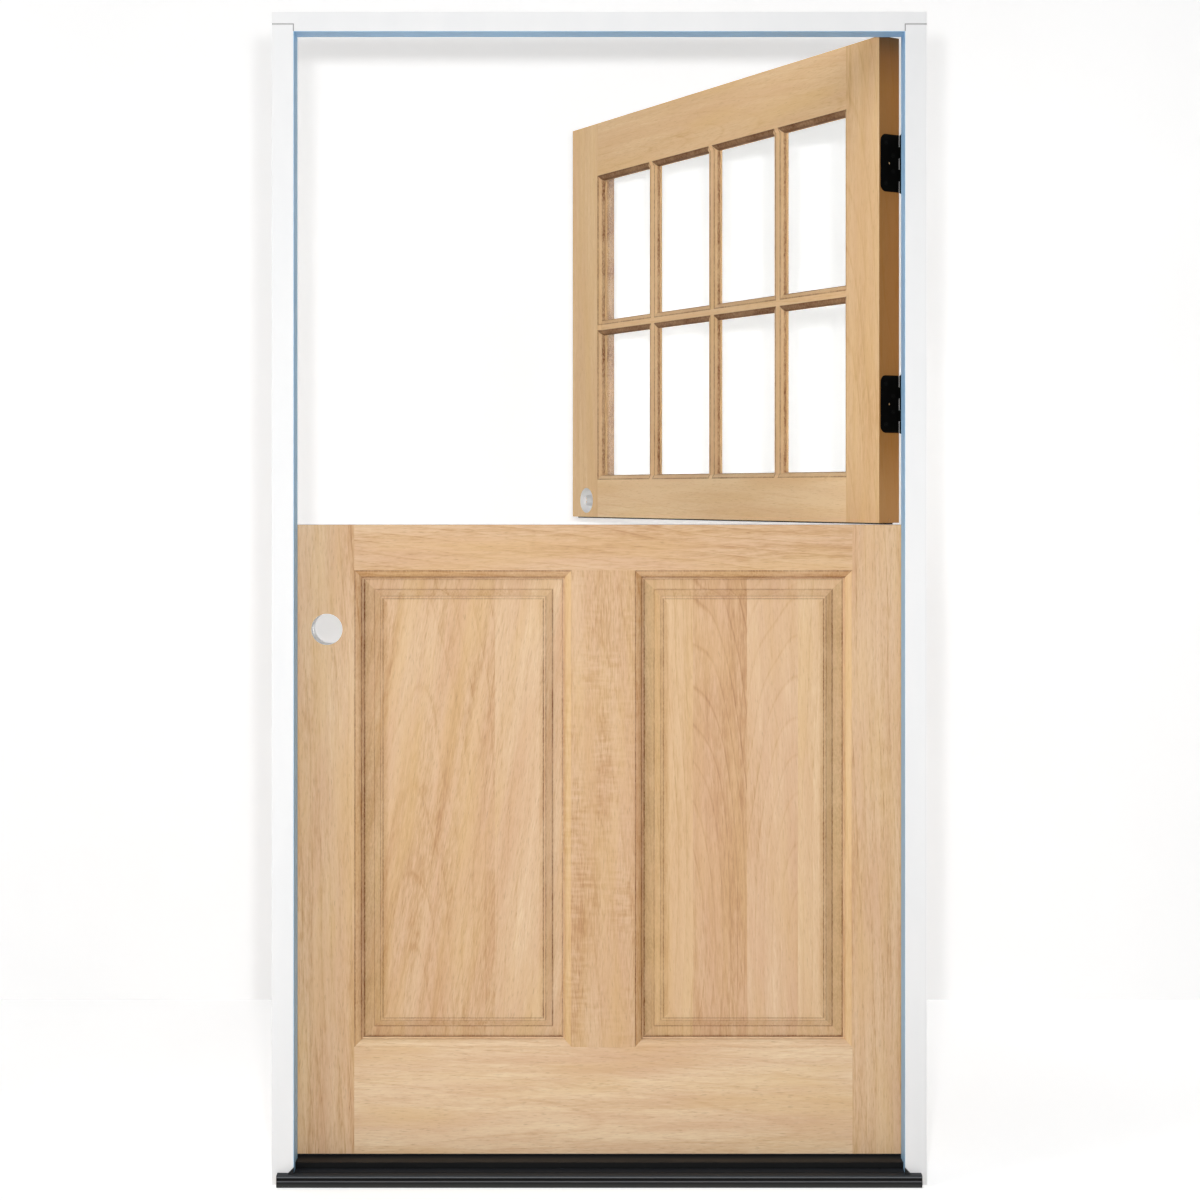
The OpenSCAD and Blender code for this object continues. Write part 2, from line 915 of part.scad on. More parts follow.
module lower_top_rail() {
    color(wood)
        difference() {
            union() {
                block(lock_line, hinge_line, leaf_y0, leaf_y1, panel_z1, low_z1);
                panel_side(left_panel_x, 180);
                panel_side(right_panel_x, 180);
            }
            lower_dowel_set(1);
        }
}

module lower_bottom_rail() {
    color(wood)
        difference() {
            union() {
                block(lock_line, hinge_line, leaf_y0, leaf_y1, low_z0, panel_z0);
                panel_side(left_panel_x, 0);
                panel_side(right_panel_x, 0);
            }
            lower_dowel_set(1);
            sweep_kerf_cut();
        }
}

module lower_mullion() {
    color(wood)
        difference() {
            union() {
                block(
                    mullion_mid - mullion_w / 2, mullion_mid + mullion_w / 2,
                    leaf_y0, leaf_y1, panel_z0, panel_z1
                );
                panel_side(left_panel_x, 270);
                panel_side(right_panel_x, 90);
            }
            lower_dowel_set(1);
        }
}

// Raised panels

// Distance of a panel's edge from the face line of its opening
panel_edge = stick_w - groove_d + panel_play;
panel_w = panel_open_w - 2 * panel_edge;
panel_h = panel_open_h - 2 * panel_edge;

// Quarter of a panel's outline, as [distance from the edge, depth]
margin_end = stick_w - panel_edge + margin_w;
tongue_depth = (leaf_t - tongue_t) / 2;
margin_step = 2.4;
field_step = 0.8;
panel_quarter = [
    [0, tongue_depth],
    [margin_end, tongue_depth],
    [margin_end, tongue_depth - margin_step],
    [margin_end + slope_w, field_set + 2 * field_step],
    [margin_end + slope_w, field_set + field_step],
    [margin_end + slope_w + bead_step_w, field_set + field_step],
    [margin_end + slope_w + bead_step_w, field_set]
];

// Whole outline of a panel of a given width, as [across, depth in the leaf]
function panel_outline(w) = let (
    near = [for (p = panel_quarter) [p[0] - w / 2, leaf_y0 + p[1]]],
    far = [for (p = panel_quarter) [p[0] - w / 2, leaf_y1 - p[1]]],
    last = len(panel_quarter) - 1
) concat(
    near,
    [for (i = [last:-1:0]) [-near[i][0], near[i][1]]],
    [for (p = far) [-p[0], p[1]]],
    [for (i = [last:-1:0]) far[i]]
);

// The panel is what two crossed lengths of the same section share
module raised_panel(x) {
    color(wood)
        translate([x, 0, panel_mid_z])
            intersection() {
                along_z(-panel_h / 2, panel_h / 2)
                    polygon(panel_outline(panel_w));
                along_x(-panel_w / 2, panel_w / 2)
                    polygon([for (p = panel_outline(panel_h)) [p[1], p[0]]]);
            }
}

module left_panel() {
    raised_panel(left_panel_x);
}

module right_panel() {
    raised_panel(right_panel_x);
}

// Sweep with barbs in the kerfs and fins over the sill's cap
module door_sweep() {
    y0 = leaf_y0 + sweep_edge;
    y1 = leaf_y1 - sweep_edge;
    fin_pitch = (y1 - y0 - sweep_fin_w) / (sweep_fins - 1);
    color(rubber_grey)
        along_x(leaf_x0 + edge_gap, leaf_x1 - edge_gap) {
            translate([y0, low_z0 - sweep_plate])
                square([y1 - y0, sweep_plate]);
            for (i = [0:sweep_fins - 1])
                translate([y0 + i * fin_pitch, sill_h + ease])
                    square([sweep_fin_w, bottom_gap - ease - sweep_plate / 2]);
            for (y = sweep_kerfs)
                translate([y - kerf_w / 2 + barb_slack, low_z0 - sweep_plate / 2])
                    square([kerf_w - 2 * barb_slack, kerf_d + sweep_plate / 2 - ease]);
        }
}

// Upper leaf, made closed and then swung open

module meeting_kerf_cut() {
    block(
        leaf_x0 - overlap, leaf_x1 + overlap,
        leaf_mid - kerf_w / 2, leaf_mid + kerf_w / 2, up_z0 - overlap, up_z0 + kerf_d
    );
}

// Moulding on one side of the glazed opening
module glass_side(turn) {
    opening_side(
        glass_moulding, (lock_line + hinge_line) / 2, glazed_mid_z, glazed_w, glazed_h, turn
    );
}

module upper_hinge_stile() {
    color(wood)
        swung_open()
            difference() {
                union() {
                    block(hinge_line, leaf_x1, leaf_y0, leaf_y1, up_z0, up_z1);
                    glass_side(270);
                }
                for (i = [2, 3])
                    leaf_hinge_cut(i);
                upper_dowel_set(1);
                meeting_kerf_cut();
            }
}

module upper_lock_stile() {
    color(wood)
        swung_open()
            difference() {
                union() {
                    block(leaf_x0, lock_line, leaf_y0, leaf_y1, up_z0, up_z1);
                    glass_side(90);
                }
                lock_cut(upper_bore_z);
                upper_dowel_set(1);
                meeting_kerf_cut();
            }
}

module upper_top_rail() {
    color(wood)
        swung_open()
            difference() {
                union() {
                    block(lock_line, hinge_line, leaf_y0, leaf_y1, glazed_z1, up_z1);
                    glass_side(180);
                }
                upper_dowel_set(1);
            }
}

module upper_bottom_rail() {
    color(wood)
        swung_open()
            difference() {
                union() {
                    block(lock_line, hinge_line, leaf_y0, leaf_y1, up_z0, glazed_z0);
                    glass_side(0);
                }
                upper_dowel_set(1);
                meeting_kerf_cut();
            }
}

// Glazing bars

// Half of a bar's moulded front, as [distance from the axis, depth]
bar_front = concat(
    [[bar_w / 2, seat_depth], [bar_w / 2, seat_depth - glass_lip]],
    [for (i = [round_steps:-1:0])
        let (a = 90 * i / round_steps)
            [
                bar_face / 2 + (bar_w - bar_face) / 2 * sin(a),
                bar_set + (seat_depth - glass_lip - bar_set) * (1 - cos(a))
            ]]
);
bar_half = concat([[web_w / 2, bar_back], [web_w / 2, seat_depth]], bar_front);
bar_points = concat(
    bar_half,
    [for (i = [len(bar_half) - 1:-1:0]) [-bar_half[i][0], bar_half[i][1]]]
);

// Centre of a column's right-hand bar, and of a pane, counted from the lock side
function bar_x(i) = lock_line + glass_stick_w + i * (light_w + bar_w) - bar_w / 2;
function pane_x(i) = bar_x(i) - bar_w / 2 - light_w / 2;
function pane_z(row) = glazed_mid_z + (row == 0 ? -1 : 1) * (light_h + bar_w) / 2;

module cross_bar_form() {
    along_x(lock_line, hinge_line)
        polygon([for (p = bar_points) [leaf_y0 + p[1], glazed_mid_z + p[0]]]);
}

module cross_bar() {
    color(wood)
        swung_open()
            difference() {
                cross_bar_form();
                glass_side(90);
                glass_side(270);
            }
}

// Upright bar of one row, coped over the cross bar and the rail
module upright_bar(i, row) {
    z_end = row == 0 ? glazed_z0 : glazed_z1;
    color(wood)
        swung_open()
            difference() {
                along_z(min(z_end, glazed_mid_z), max(z_end, glazed_mid_z))
                    polygon([for (p = bar_points) [bar_x(i) + p[0], leaf_y0 + p[1]]]);
                cross_bar_form();
                glass_side(row == 0 ? 0 : 180);
            }
}

// Pane i of a row, let into the rebates round its light
module pane(i, row) {
    half_w = light_w / 2 + glass_stick_w - glass_play;
    half_h = light_h / 2 + glass_stick_w - glass_play;
    color(glass_tint)
        swung_open()
            block(
                pane_x(i) - half_w, pane_x(i) + half_w,
                leaf_y0 + glass_set, leaf_y0 + glass_set + glass_t,
                pane_z(row) - half_h, pane_z(row) + half_h
            );
}

// Four mitred beads round the inside of each pane of a row
module row_beads(row) {
    color(wood)
        swung_open()
            for (i = [1:columns], turn = [0:90:270])
                opening_side(
                    bead_moulding, pane_x(i), pane_z(row),
                    light_w + 2 * glass_stick_w, light_h + 2 * glass_stick_w, turn, slip
                );
}

// Seal strip in a kerf under the upper leaf
module meeting_seal() {
    color(rubber_grey)
        swung_open()
            along_x(leaf_x0 + edge_gap, leaf_x1 - edge_gap) {
                translate([leaf_mid - meeting_seal_w / 2, low_z1 + ease])
                    square([meeting_seal_w, meeting_gap - ease]);
                translate([leaf_mid - kerf_w / 2 + barb_slack, up_z0 - overlap])
                    square([kerf_w - 2 * barb_slack, kerf_d + overlap - ease]);
            }
}

head_jamb();
hinge_jamb();
strike_jamb();
head_seal();
hinge_seal();
strike_seal();
sill_base();
sill_tread();
sill_cap();
sill_corner_pads();
frame_screws();
jamb_hinge_leaf(0);  // jamb_hinge_leaf_1
jamb_hinge_leaf(1);  // jamb_hinge_leaf_2
jamb_hinge_leaf(2);  // jamb_hinge_leaf_3
jamb_hinge_leaf(3);  // jamb_hinge_leaf_4
hinge_pin(0);  // hinge_pin_1
hinge_pin(1);  // hinge_pin_2
hinge_pin(2);  // hinge_pin_3
hinge_pin(3);  // hinge_pin_4
jamb_hinge_screws();
lower_hinge_stile();
lower_lock_stile();
lower_top_rail();
lower_bottom_rail();
lower_mullion();
left_panel();
right_panel();
door_sweep();
door_hinge_leaf(0);  // door_hinge_leaf_1
door_hinge_leaf(1);  // door_hinge_leaf_2
leaf_hinge_screws(0);  // lower_hinge_screws
lower_dowels();
upper_hinge_stile();
upper_lock_stile();
upper_top_rail();
upper_bottom_rail();
cross_bar();
upright_bar(1, 1);  // upper_bar_1
upright_bar(2, 1);  // upper_bar_2
upright_bar(3, 1);  // upper_bar_3
upright_bar(1, 0);  // lower_bar_1
upright_bar(2, 0);  // lower_bar_2
upright_bar(3, 0);  // lower_bar_3
pane(1, 1);  // upper_pane_1
pane(2, 1);  // upper_pane_2
pane(3, 1);  // upper_pane_3
pane(4, 1);  // upper_pane_4
pane(1, 0);  // lower_pane_1
pane(2, 0);  // lower_pane_2
pane(3, 0);  // lower_pane_3
pane(4, 0);  // lower_pane_4
row_beads(1);  // upper_row_beads
row_beads(0);  // lower_row_beads
meeting_seal();
swung_open() door_hinge_leaf(2);  // door_hinge_leaf_3
swung_open() door_hinge_leaf(3);  // door_hinge_leaf_4
swung_open() leaf_hinge_screws(2);  // upper_hinge_screws
upper_dowels();
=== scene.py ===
# %% [markdown]
# A dutch stable door in its frame. The lower leaf is shut and holds two raised panels.
# The upper leaf holds eight panes of glass and stands open on its hinges.
# The solids arrive ready made, so this lesson is about finishes: bare timber with its
# grain, primed jambs, a dark metal sill, black hinges and glass. Each finish could be
# a picture wrapped round the piece, but pictures stretch and repeat. Here every finish
# is worked out from the place of each point on the piece, so it fits any shape.

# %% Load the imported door
import math

import bpy
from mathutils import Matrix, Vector

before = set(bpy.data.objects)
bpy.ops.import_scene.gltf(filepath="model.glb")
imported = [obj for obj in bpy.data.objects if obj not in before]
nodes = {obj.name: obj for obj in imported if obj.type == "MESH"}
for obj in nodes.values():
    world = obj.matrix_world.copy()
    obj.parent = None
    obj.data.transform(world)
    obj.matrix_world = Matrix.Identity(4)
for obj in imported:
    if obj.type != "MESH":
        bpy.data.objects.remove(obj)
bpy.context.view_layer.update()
scene = bpy.context.scene
print("pieces of the door:", len(nodes))

# %% [markdown]
# The picture is taken square to the door, from about head height, with a lens that is
# a little long. The horizon lies above the middle of the picture, although the door's
# sides stay upright. A tilted camera would make the jambs lean, so the camera stays
# level and its film is shifted down instead.

# %% Camera
EYE = (0.0012, -3.390, 1.192)
LENS_MM = 59.13
FILM_MM = 36.0
FILM_DROP = -0.09

camera_data = bpy.data.cameras.new("door_camera")
camera_data.lens = LENS_MM
camera_data.sensor_width = FILM_MM
camera_data.shift_y = FILM_DROP
camera = bpy.data.objects.new("door_camera", camera_data)
camera.location = EYE
camera.rotation_euler = (math.radians(90), 0, 0)
scene.collection.objects.link(camera)
scene.camera = camera
scene.view_settings.view_transform = "Standard"
print("camera stands", -EYE[1], "m in front of the frame")

# %% [markdown]
# Colours are written here as they look on a screen, from 0 to 255. The renderer works
# with amounts of light, and these do not rise evenly with the screen's numbers: half the
# number is only about a fifth of the light. So each colour is turned into light values
# once, by the curve that screens use.


# %% Colours
def light_value(level):
    """The amount of light, from 0 to 1, of one screen number."""
    level = level / 255
    if level <= 0.04045:
        return level / 12.92
    return ((level + 0.055) / 1.055) ** 2.4


def colour(red, green, blue):
    return (light_value(red), light_value(green), light_value(blue), 1.0)


print("mid grey 128 is", round(colour(128, 128, 128)[0], 3), "in light values")

# %% [markdown]
# Every finish is a small net of shader nodes. Adding them one by one takes many lines,
# so one helper makes a node, sets what is fixed on it and joins what comes from another
# node. The others stand on it: arithmetic, mixing two colours, and taking a place apart
# into x, y and z or putting it together again.


# %% Helpers for single nodes
def put(net, kind, settings=None, **sockets):
    """One node. Settings are its options; sockets take a value or another socket."""
    made = net.nodes.new(kind)
    for name, value in (settings or {}).items():
        setattr(made, name, value)
    for name, value in sockets.items():
        numbered = name[0] == "i" and name[1:].isdigit()
        socket = made.inputs[int(name[1:]) if numbered else name.replace("_", " ")]
        if isinstance(value, bpy.types.NodeSocket):
            net.links.new(value, socket)
        else:
            socket.default_value = value
    return made


def work(net, operation, *values):
    """Arithmetic on numbers or sockets."""
    sockets = {f"i{i}": value for i, value in enumerate(values)}
    return put(net, "ShaderNodeMath", {"operation": operation}, **sockets).outputs[0]


def mix_colours(net, share, first, second):
    settings = {"data_type": "RGBA"}
    return put(net, "ShaderNodeMix", settings, i0=share, i6=first, i7=second).outputs[2]


def length_of(net, vector):
    settings = {"operation": "LENGTH"}
    return put(net, "ShaderNodeVectorMath", settings, i0=vector).outputs["Value"]


def apart(net, place):
    return put(net, "ShaderNodeSeparateXYZ", None, Vector=place).outputs


def joined(net, across, deep, along):
    return put(net, "ShaderNodeCombineXYZ", None, X=across, Y=deep, Z=along).outputs[0]


helpers = (put, work, mix_colours, length_of, apart, joined)
print("helpers for nodes:", ", ".join(helper.__name__ for helper in helpers))

# %% [markdown]
# Two things give a surface its detail. Noise gives soft grains, and its size is set in
# metres, so that a fibre of timber is as fine as a real one. A scale with stops then
# turns the noise, or a distance, into tones and colours. Both are worked out at each
# point of the solid, so nothing has to be unwrapped.


# %% Scales and noise
def read_off(net, value, stops):
    """Reads a value off a scale of (place, level) stops; a level is grey or a colour."""
    ramp = put(net, "ShaderNodeValToRGB", None, Fac=value)
    scale = ramp.color_ramp
    while len(scale.elements) < len(stops):
        scale.elements.new(1.0)
    for element, (place, level) in zip(scale.elements, stops):
        element.position = place
        element.color = level if hasattr(level, "__len__") else (level, level, level, 1.0)
    return ramp.outputs[0]


def spread(net, value, low, high, to_low, to_high):
    """Stretches a value from one range to another, and stops at its ends."""
    return put(
        net, "ShaderNodeMapRange", None, Value=value,
        From_Min=low, From_Max=high, To_Min=to_low, To_Max=to_high,
    ).outputs[0]


def soft_noise(net, place, size, detail=3.0, rough=0.55, shift=(0, 0, 0)):
    """Soft noise whose grains measure about size, in metres, along x, y and z."""
    fitted = put(
        net, "ShaderNodeMapping", None,
        Vector=place, Location=shift, Scale=tuple(1 / s for s in size),
    ).outputs[0]
    made = put(
        net, "ShaderNodeTexNoise", None,
        Vector=fitted, Scale=1.0, Detail=detail, Roughness=rough,
    )
    return made.outputs[0]


print("a grain of 2 mm is noise at a scale of", round(1 / 0.002))

# %% [markdown]
# A finish is a material. Its colour, its roughness and its bump all come from the net.
# Bump only tilts the light on a surface and moves no point of it, so it suits pores and
# rolled paint. Mouldings and steps are in the solids.


# %% Making a finish and putting it on
def new_finish(name):
    """A material with its shader, ready for colour, roughness and bump."""
    finish = bpy.data.materials.new(name)
    finish.use_nodes = True
    return finish, finish.node_tree, finish.node_tree.nodes["Principled BSDF"]


def bump_from(net, shader, height, depth, strength):
    """Bump from a height between 0 and 1 that stands for a depth in metres."""
    made = put(net, "ShaderNodeBump", None, Height=height, Distance=depth, Strength=strength)
    net.links.new(made.outputs[0], shader.inputs["Normal"])


def dress(finish, *names):
    """Gives a finish to pieces of the door."""
    for name in names:
        mesh = nodes[name].data
        mesh.materials.clear()
        mesh.materials.append(finish)


print("pieces that wait for a finish:", len(nodes))

# %% [markdown]
# The door stands on a white floor before a white backdrop. More lamps would turn the
# backdrop white, but they would bleach the pale timber too. So floor and backdrop glow a
# little for the camera alone, up to white, and still darken where the door's shadow
# falls. The glow is stronger at the right, which lies further from the broad lamp, and
# far from the door it grows until the stage is plain white. Seen from behind, the
# backdrop lets the view through.

# %% White that glows for the camera
STAGE_WHITE = (0.92, 0.92, 0.92, 1)
GLOW_HALF = 1.2
FAR_FADE = (1.7, 3.8)
FAR_GLOW = (0.28, 1.0)


def seen_directly(net):
    """1 for what the camera sees itself, in a reflection or through glass."""
    path = put(net, "ShaderNodeLightPath")
    seen = work(net, "MAXIMUM", path.outputs["Is Camera Ray"], path.outputs["Is Glossy Ray"])
    return work(net, "MAXIMUM", seen, path.outputs["Is Transmission Ray"])


def stage_glow(net, middle, left, right):
    """From left to right beside the door, and up to white far away from its middle."""
    place = put(net, "ShaderNodeNewGeometry").outputs["Position"]
    near = spread(net, apart(net, place)[0], -GLOW_HALF, GLOW_HALF, left, right)
    away = put(net, "ShaderNodeVectorMath", {"operation": "DISTANCE"}, i0=place, i1=middle)
    far = spread(net, away.outputs["Value"], *FAR_FADE, *FAR_GLOW)
    return work(net, "MULTIPLY", seen_directly(net), work(net, "MAXIMUM", near, far))


def stage_finish(name, middle, left, right):
    """White that glows for the camera, and is clear from behind."""
    finish, net, shader = new_finish(name)
    shader.inputs["Base Color"].default_value = STAGE_WHITE
    shader.inputs["Roughness"].default_value = 1.0
    shader.inputs["Specular IOR Level"].default_value = 0.0
    shader.inputs["Emission Color"].default_value = (1, 1, 1, 1)
    net.links.new(stage_glow(net, middle, left, right), shader.inputs["Emission Strength"])
    behind = put(net, "ShaderNodeNewGeometry").outputs["Backfacing"]
    clear = put(net, "ShaderNodeBsdfTransparent").outputs[0]
    both = put(net, "ShaderNodeMixShader", None, i0=behind, i1=shader.outputs[0], i2=clear)
    net.links.new(both.outputs[0], net.nodes["Material Output"].inputs["Surface"])
    return finish


print("beyond", FAR_FADE[1], "m the stage is plain white")

# %% Sky, floor and backdrop
SKY_FILL = 0.08
BACKDROP_GLOW = (0.305, 0.475)
BACKDROP_MIDDLE_Z = 1.2
BACKDROP_Y = 1.24
FLOOR_GLOW = (0.42, 0.65)
FLOOR_Z = -0.0005
STAGE_SIZE = 60

world = bpy.data.worlds.new("studio")
scene.world = world
world.use_nodes = True
sky_net = world.node_tree
sky = sky_net.nodes["Background"]
sky.inputs["Color"].default_value = (1, 1, 1, 1)
sky_level = spread(sky_net, seen_directly(sky_net), 0.0, 1.0, SKY_FILL, 1.0)
sky_net.links.new(sky_level, sky.inputs["Strength"])

floor_middle = (0, BACKDROP_Y - STAGE_SIZE / 2, FLOOR_Z)
bpy.ops.mesh.primitive_plane_add(size=STAGE_SIZE, location=floor_middle)
floor = bpy.context.object
floor.name = "floor"
floor.data.materials.append(stage_finish("white_floor", (0, 0, 0), *FLOOR_GLOW))
bpy.ops.mesh.primitive_plane_add(
    size=STAGE_SIZE, location=(0, BACKDROP_Y, STAGE_SIZE / 2), rotation=(math.radians(90), 0, 0)
)
backdrop = bpy.context.object
backdrop.name = "backdrop"
backdrop_middle = (0, BACKDROP_Y, BACKDROP_MIDDLE_Z)
backdrop.data.materials.append(
    stage_finish("white_backdrop", backdrop_middle, *BACKDROP_GLOW)
)
print("backdrop stands", BACKDROP_Y, "m behind the face of the frame")

# %% [markdown]
# Three lamps light the door. Two small ones stand left and right of the camera, so the
# shadow of the frame shows on the backdrop as a soft grey rim on both sides, and the
# white frame stands out. A broad lamp at the upper left shades the mouldings. One big
# lamp at the camera would be simpler, but it would wash out both.

# %% Lamps
LAMP_AIM = (0, 0, 1.0)
CAMERA_LAMPS = {"camera_lamp_left": -0.12, "camera_lamp_right": 0.12}
CAMERA_LAMP_Z = 1.35


def soft_lamp(name, place, size, watts):
    """A round lamp that points at the middle of the door."""
    lamp = bpy.data.lights.new(name, "AREA")
    lamp.shape = "DISK"
    lamp.size = size
    lamp.energy = watts
    holder = bpy.data.objects.new(name, lamp)
    holder.location = place
    holder.rotation_euler = (Vector(place) - Vector(LAMP_AIM)).to_track_quat("Z", "Y").to_euler()
    scene.collection.objects.link(holder)


for name, x in CAMERA_LAMPS.items():
    soft_lamp(name, (x, EYE[1], CAMERA_LAMP_Z), size=0.10, watts=36)
soft_lamp("upper_left_lamp", (-4.2, -1.8, 3.4), size=2.4, watts=84)

# %% [markdown]
# Bare timber is the face of this door. A board is a slice through the rings of a tree,
# so the rings are drawn in the solid: circles round a pith line that lies a little way
# behind the board and not quite along it. Where the slice grazes a ring it draws the
# tall arches of flat-sawn timber. Fine fibres, short dark pores and slow drifts of
# colour are laid over the rings, all stretched along the board's own length. A tiled
# plank picture would be quicker, but it would not turn the corner of an edge.

# %% Where a point lies in its board
PIN = (0.537, 0.099, 0.0)
UPPER_LEAF_OPEN = math.radians(59)


def leaf_place(net, upper=False):
    """The place of a point on its leaf, in metres, with the leaf shut."""
    place = put(net, "ShaderNodeTexCoord").outputs["Object"]
    if not upper:
        return place
    return put(
        net, "ShaderNodeVectorRotate", {"rotation_type": "Z_AXIS"},
        Vector=place, Center=PIN, Angle=UPPER_LEAF_OPEN,
    ).outputs[0]


def along_grain(net, place, level):
    """Across, deep and along the board, for a board that stands or lies level."""
    if not level:
        return place
    x, y, z = apart(net, place)
    return joined(net, z, y, x)


print("the upper leaf is turned back by", round(math.degrees(UPPER_LEAF_OPEN)), "degrees")

# %% Rings of the tree
WANDER_SIZE = (0.11, 0.11, 0.45)
WANDER_REACH = 0.034
YEAR_TONES = [(0.0, 0.46), (0.45, 0.56), (0.84, 0.64), (0.94, 0.08), (1.0, 0.46)]


def ring_reach(net, board, pith, shift):
    """Distance of a point from the pith line, with the wander of a living tree."""
    across_at, deep_at, tilt, lean = pith
    across, deep, along = apart(net, board)
    across = work(net, "SUBTRACT", across, across_at)
    across = work(net, "MULTIPLY_ADD", along, tilt, across)
    deep = work(net, "MULTIPLY_ADD", along, lean, work(net, "ADD", deep, deep_at))
    reach = length_of(net, joined(net, across, deep, 0.0))
    wander = soft_noise(net, board, WANDER_SIZE, 1.0, 0.5, shift)
    return work(net, "MULTIPLY_ADD", wander, WANDER_REACH, reach)


def late_wood(net, reach, ring):
    """Dark thin lines where each year's growth ends, pale between them."""
    year = work(net, "FRACT", work(net, "DIVIDE", reach, ring))
    return read_off(net, year, YEAR_TONES)


print("a year's growth is read off", len(YEAR_TONES), "stops")

# %% [markdown]
# The cutter that runs the mouldings leaves narrow grooves, and shade falls in them.
# That shade is painted: thin brown lines round each panel and each pane, and a browner
# sunk rim of each panel. Lines could be drawn by hand on each piece, but the distance of
# a point from the edge of its opening is easy to work out, and a scale read off that
# distance puts each line exactly on its groove.

# %% How far a point lies inside a panel
PANEL_CENTRES = (-0.23775, 0.25175)
PANEL_MID_Z = 0.63955
PANEL_HALF = (0.18975, 0.41595)


def off_middle(net, value, middle):
    return work(net, "ABSOLUTE", work(net, "SUBTRACT", value, middle))


def panel_depth(net, place):
    """How far a point lies inside its opening; 1 for the side it is nearest to, else 0."""
    x, _, z = apart(net, place)
    left, right = PANEL_CENTRES
    past = work(net, "GREATER_THAN", x, (left + right) / 2)
    from_x = work(net, "SUBTRACT", x, work(net, "MULTIPLY_ADD", past, right - left, left))
    from_z = work(net, "SUBTRACT", z, PANEL_MID_Z)
    to_side = work(net, "SUBTRACT", work(net, "ABSOLUTE", from_x), PANEL_HALF[0])
    to_level = work(net, "SUBTRACT", work(net, "ABSOLUTE", from_z), PANEL_HALF[1])
    depth = work(net, "MULTIPLY", work(net, "MAXIMUM", to_side, to_level), -1.0)
    sideways = work(net, "GREATER_THAN", to_side, to_level)
    level = work(net, "SUBTRACT", 1.0, sideways)
    sides = {
        "left": work(net, "MULTIPLY", sideways, work(net, "LESS_THAN", from_x, 0.0)),
        "right": work(net, "MULTIPLY", sideways, work(net, "GREATER_THAN", from_x, 0.0)),
        "top": work(net, "MULTIPLY", level, work(net, "GREATER_THAN", from_z, 0.0)),
        "bottom": work(net, "MULTIPLY", level, work(net, "LESS_THAN", from_z, 0.0)),
    }
    sides["far right"] = work(net, "MULTIPLY", sides["right"], past)
    return depth, sides


print("a panel's opening is", round(2 * PANEL_HALF[0], 3), "m wide")

# %% How far a point lies outside a pane
PANE_PITCH = (0.2206, 0.3365)
PANE_HALF = (0.09405, 0.152)
GLAZED_CENTRE = (0.007, 1.54925)
GLAZED_HALF = (0.4345, 0.32975)
GLAZED_SLACK = 0.001


def outside_of(net, from_x, from_z, half):
    """Distance outside a rectangle; less than zero inside it."""
    dx = work(net, "SUBTRACT", from_x, half[0])
    dz = work(net, "SUBTRACT", from_z, half[1])
    return work(net, "MAXIMUM", dx, dz)


def in_pane_cell(net, value, middle, pitch):
    """Place of a point from the middle of the pane that it belongs to."""
    cell = work(net, "WRAP", work(net, "SUBTRACT", value, middle), pitch, 0.0)
    return work(net, "SUBTRACT", cell, pitch / 2)


def pane_distance(net, place):
    """Distance outside the pane; 1 on the moulding above it; 1 in the glazed opening."""
    x, _, z = apart(net, place)
    cell_x = work(net, "ABSOLUTE", in_pane_cell(net, x, GLAZED_CENTRE[0], PANE_PITCH[0]))
    cell_z = in_pane_cell(net, z, GLAZED_CENTRE[1], PANE_PITCH[1])
    out = outside_of(net, cell_x, work(net, "ABSOLUTE", cell_z), PANE_HALF)
    over = work(net, "SUBTRACT", cell_z, PANE_HALF[1])
    beside = work(net, "SUBTRACT", cell_x, PANE_HALF[0])
    above = work(net, "GREATER_THAN", over, work(net, "MAXIMUM", beside, 0.0))
    from_x = off_middle(net, x, GLAZED_CENTRE[0])
    from_z = off_middle(net, z, GLAZED_CENTRE[1])
    opening = outside_of(net, from_x, from_z, GLAZED_HALF)
    within = work(net, "LESS_THAN", opening, GLAZED_SLACK)
    return out, above, within


print("a pane shows", round(2 * PANE_HALF[0], 3), "m of glass across")

# %% [markdown]
# The light comes from the upper left. So the mouldings at the left and at the top of a
# panel lie in shade and show dark lines, and those at the right and at the bottom are
# lit and show faint ones. Each side therefore has scales of its own: one for how much of
# each line is kept, and one for the brown of the shade. The rim at the far right, which
# is the right side of the right panel, is browner than the lit rims and has a share of
# its own. A scale counts in millimetres from the edge of the opening towards the field.

# %% Scales for the lines
PANEL_REACH = 62.0


def millimetres(stops, reach=PANEL_REACH):
    """Turns (millimetres, level) stops into places on a scale as long as reach."""
    return [(place / reach, level) for place, level in stops]


PANEL_LINES = millimetres(
    [
        (0.0, 0.0), (0.2, 0.82), (1.7, 0.74), (2.6, 0.06), (10.6, 0.12), (11.9, 0.80),
        (13.2, 0.80), (13.8, 0.04), (14.7, 0.06), (15.3, 1.0), (17.1, 1.0), (18.3, 0.16),
        (32.4, 0.06), (33.2, 0.90), (34.7, 0.85), (35.6, 0.06), (44.3, 0.05), (45.0, 0.66),
        (46.1, 0.64), (46.8, 0.05), (48.4, 0.05), (49.0, 0.84), (50.4, 0.80), (51.4, 0.0),
    ]
)
LINES_KEPT = {
    "left": [(0.0, 1.0), (30.0, 1.0), (31.5, 0.40), (36.5, 0.40), (42.0, 0.85)],
    "top": [(0.0, 1.0), (15.6, 1.0), (16.4, 0.25), (31.0, 0.40), (36.5, 0.40), (42.0, 0.55)],
    "right": [(0.0, 0.12), (13.9, 0.12), (14.6, 0.62), (17.4, 0.62), (30.0, 1.0)],
    "bottom": [(0.0, 0.12), (13.9, 0.12), (14.6, 0.72), (17.4, 0.72), (30.0, 1.0), (42.0, 0.65)],
}
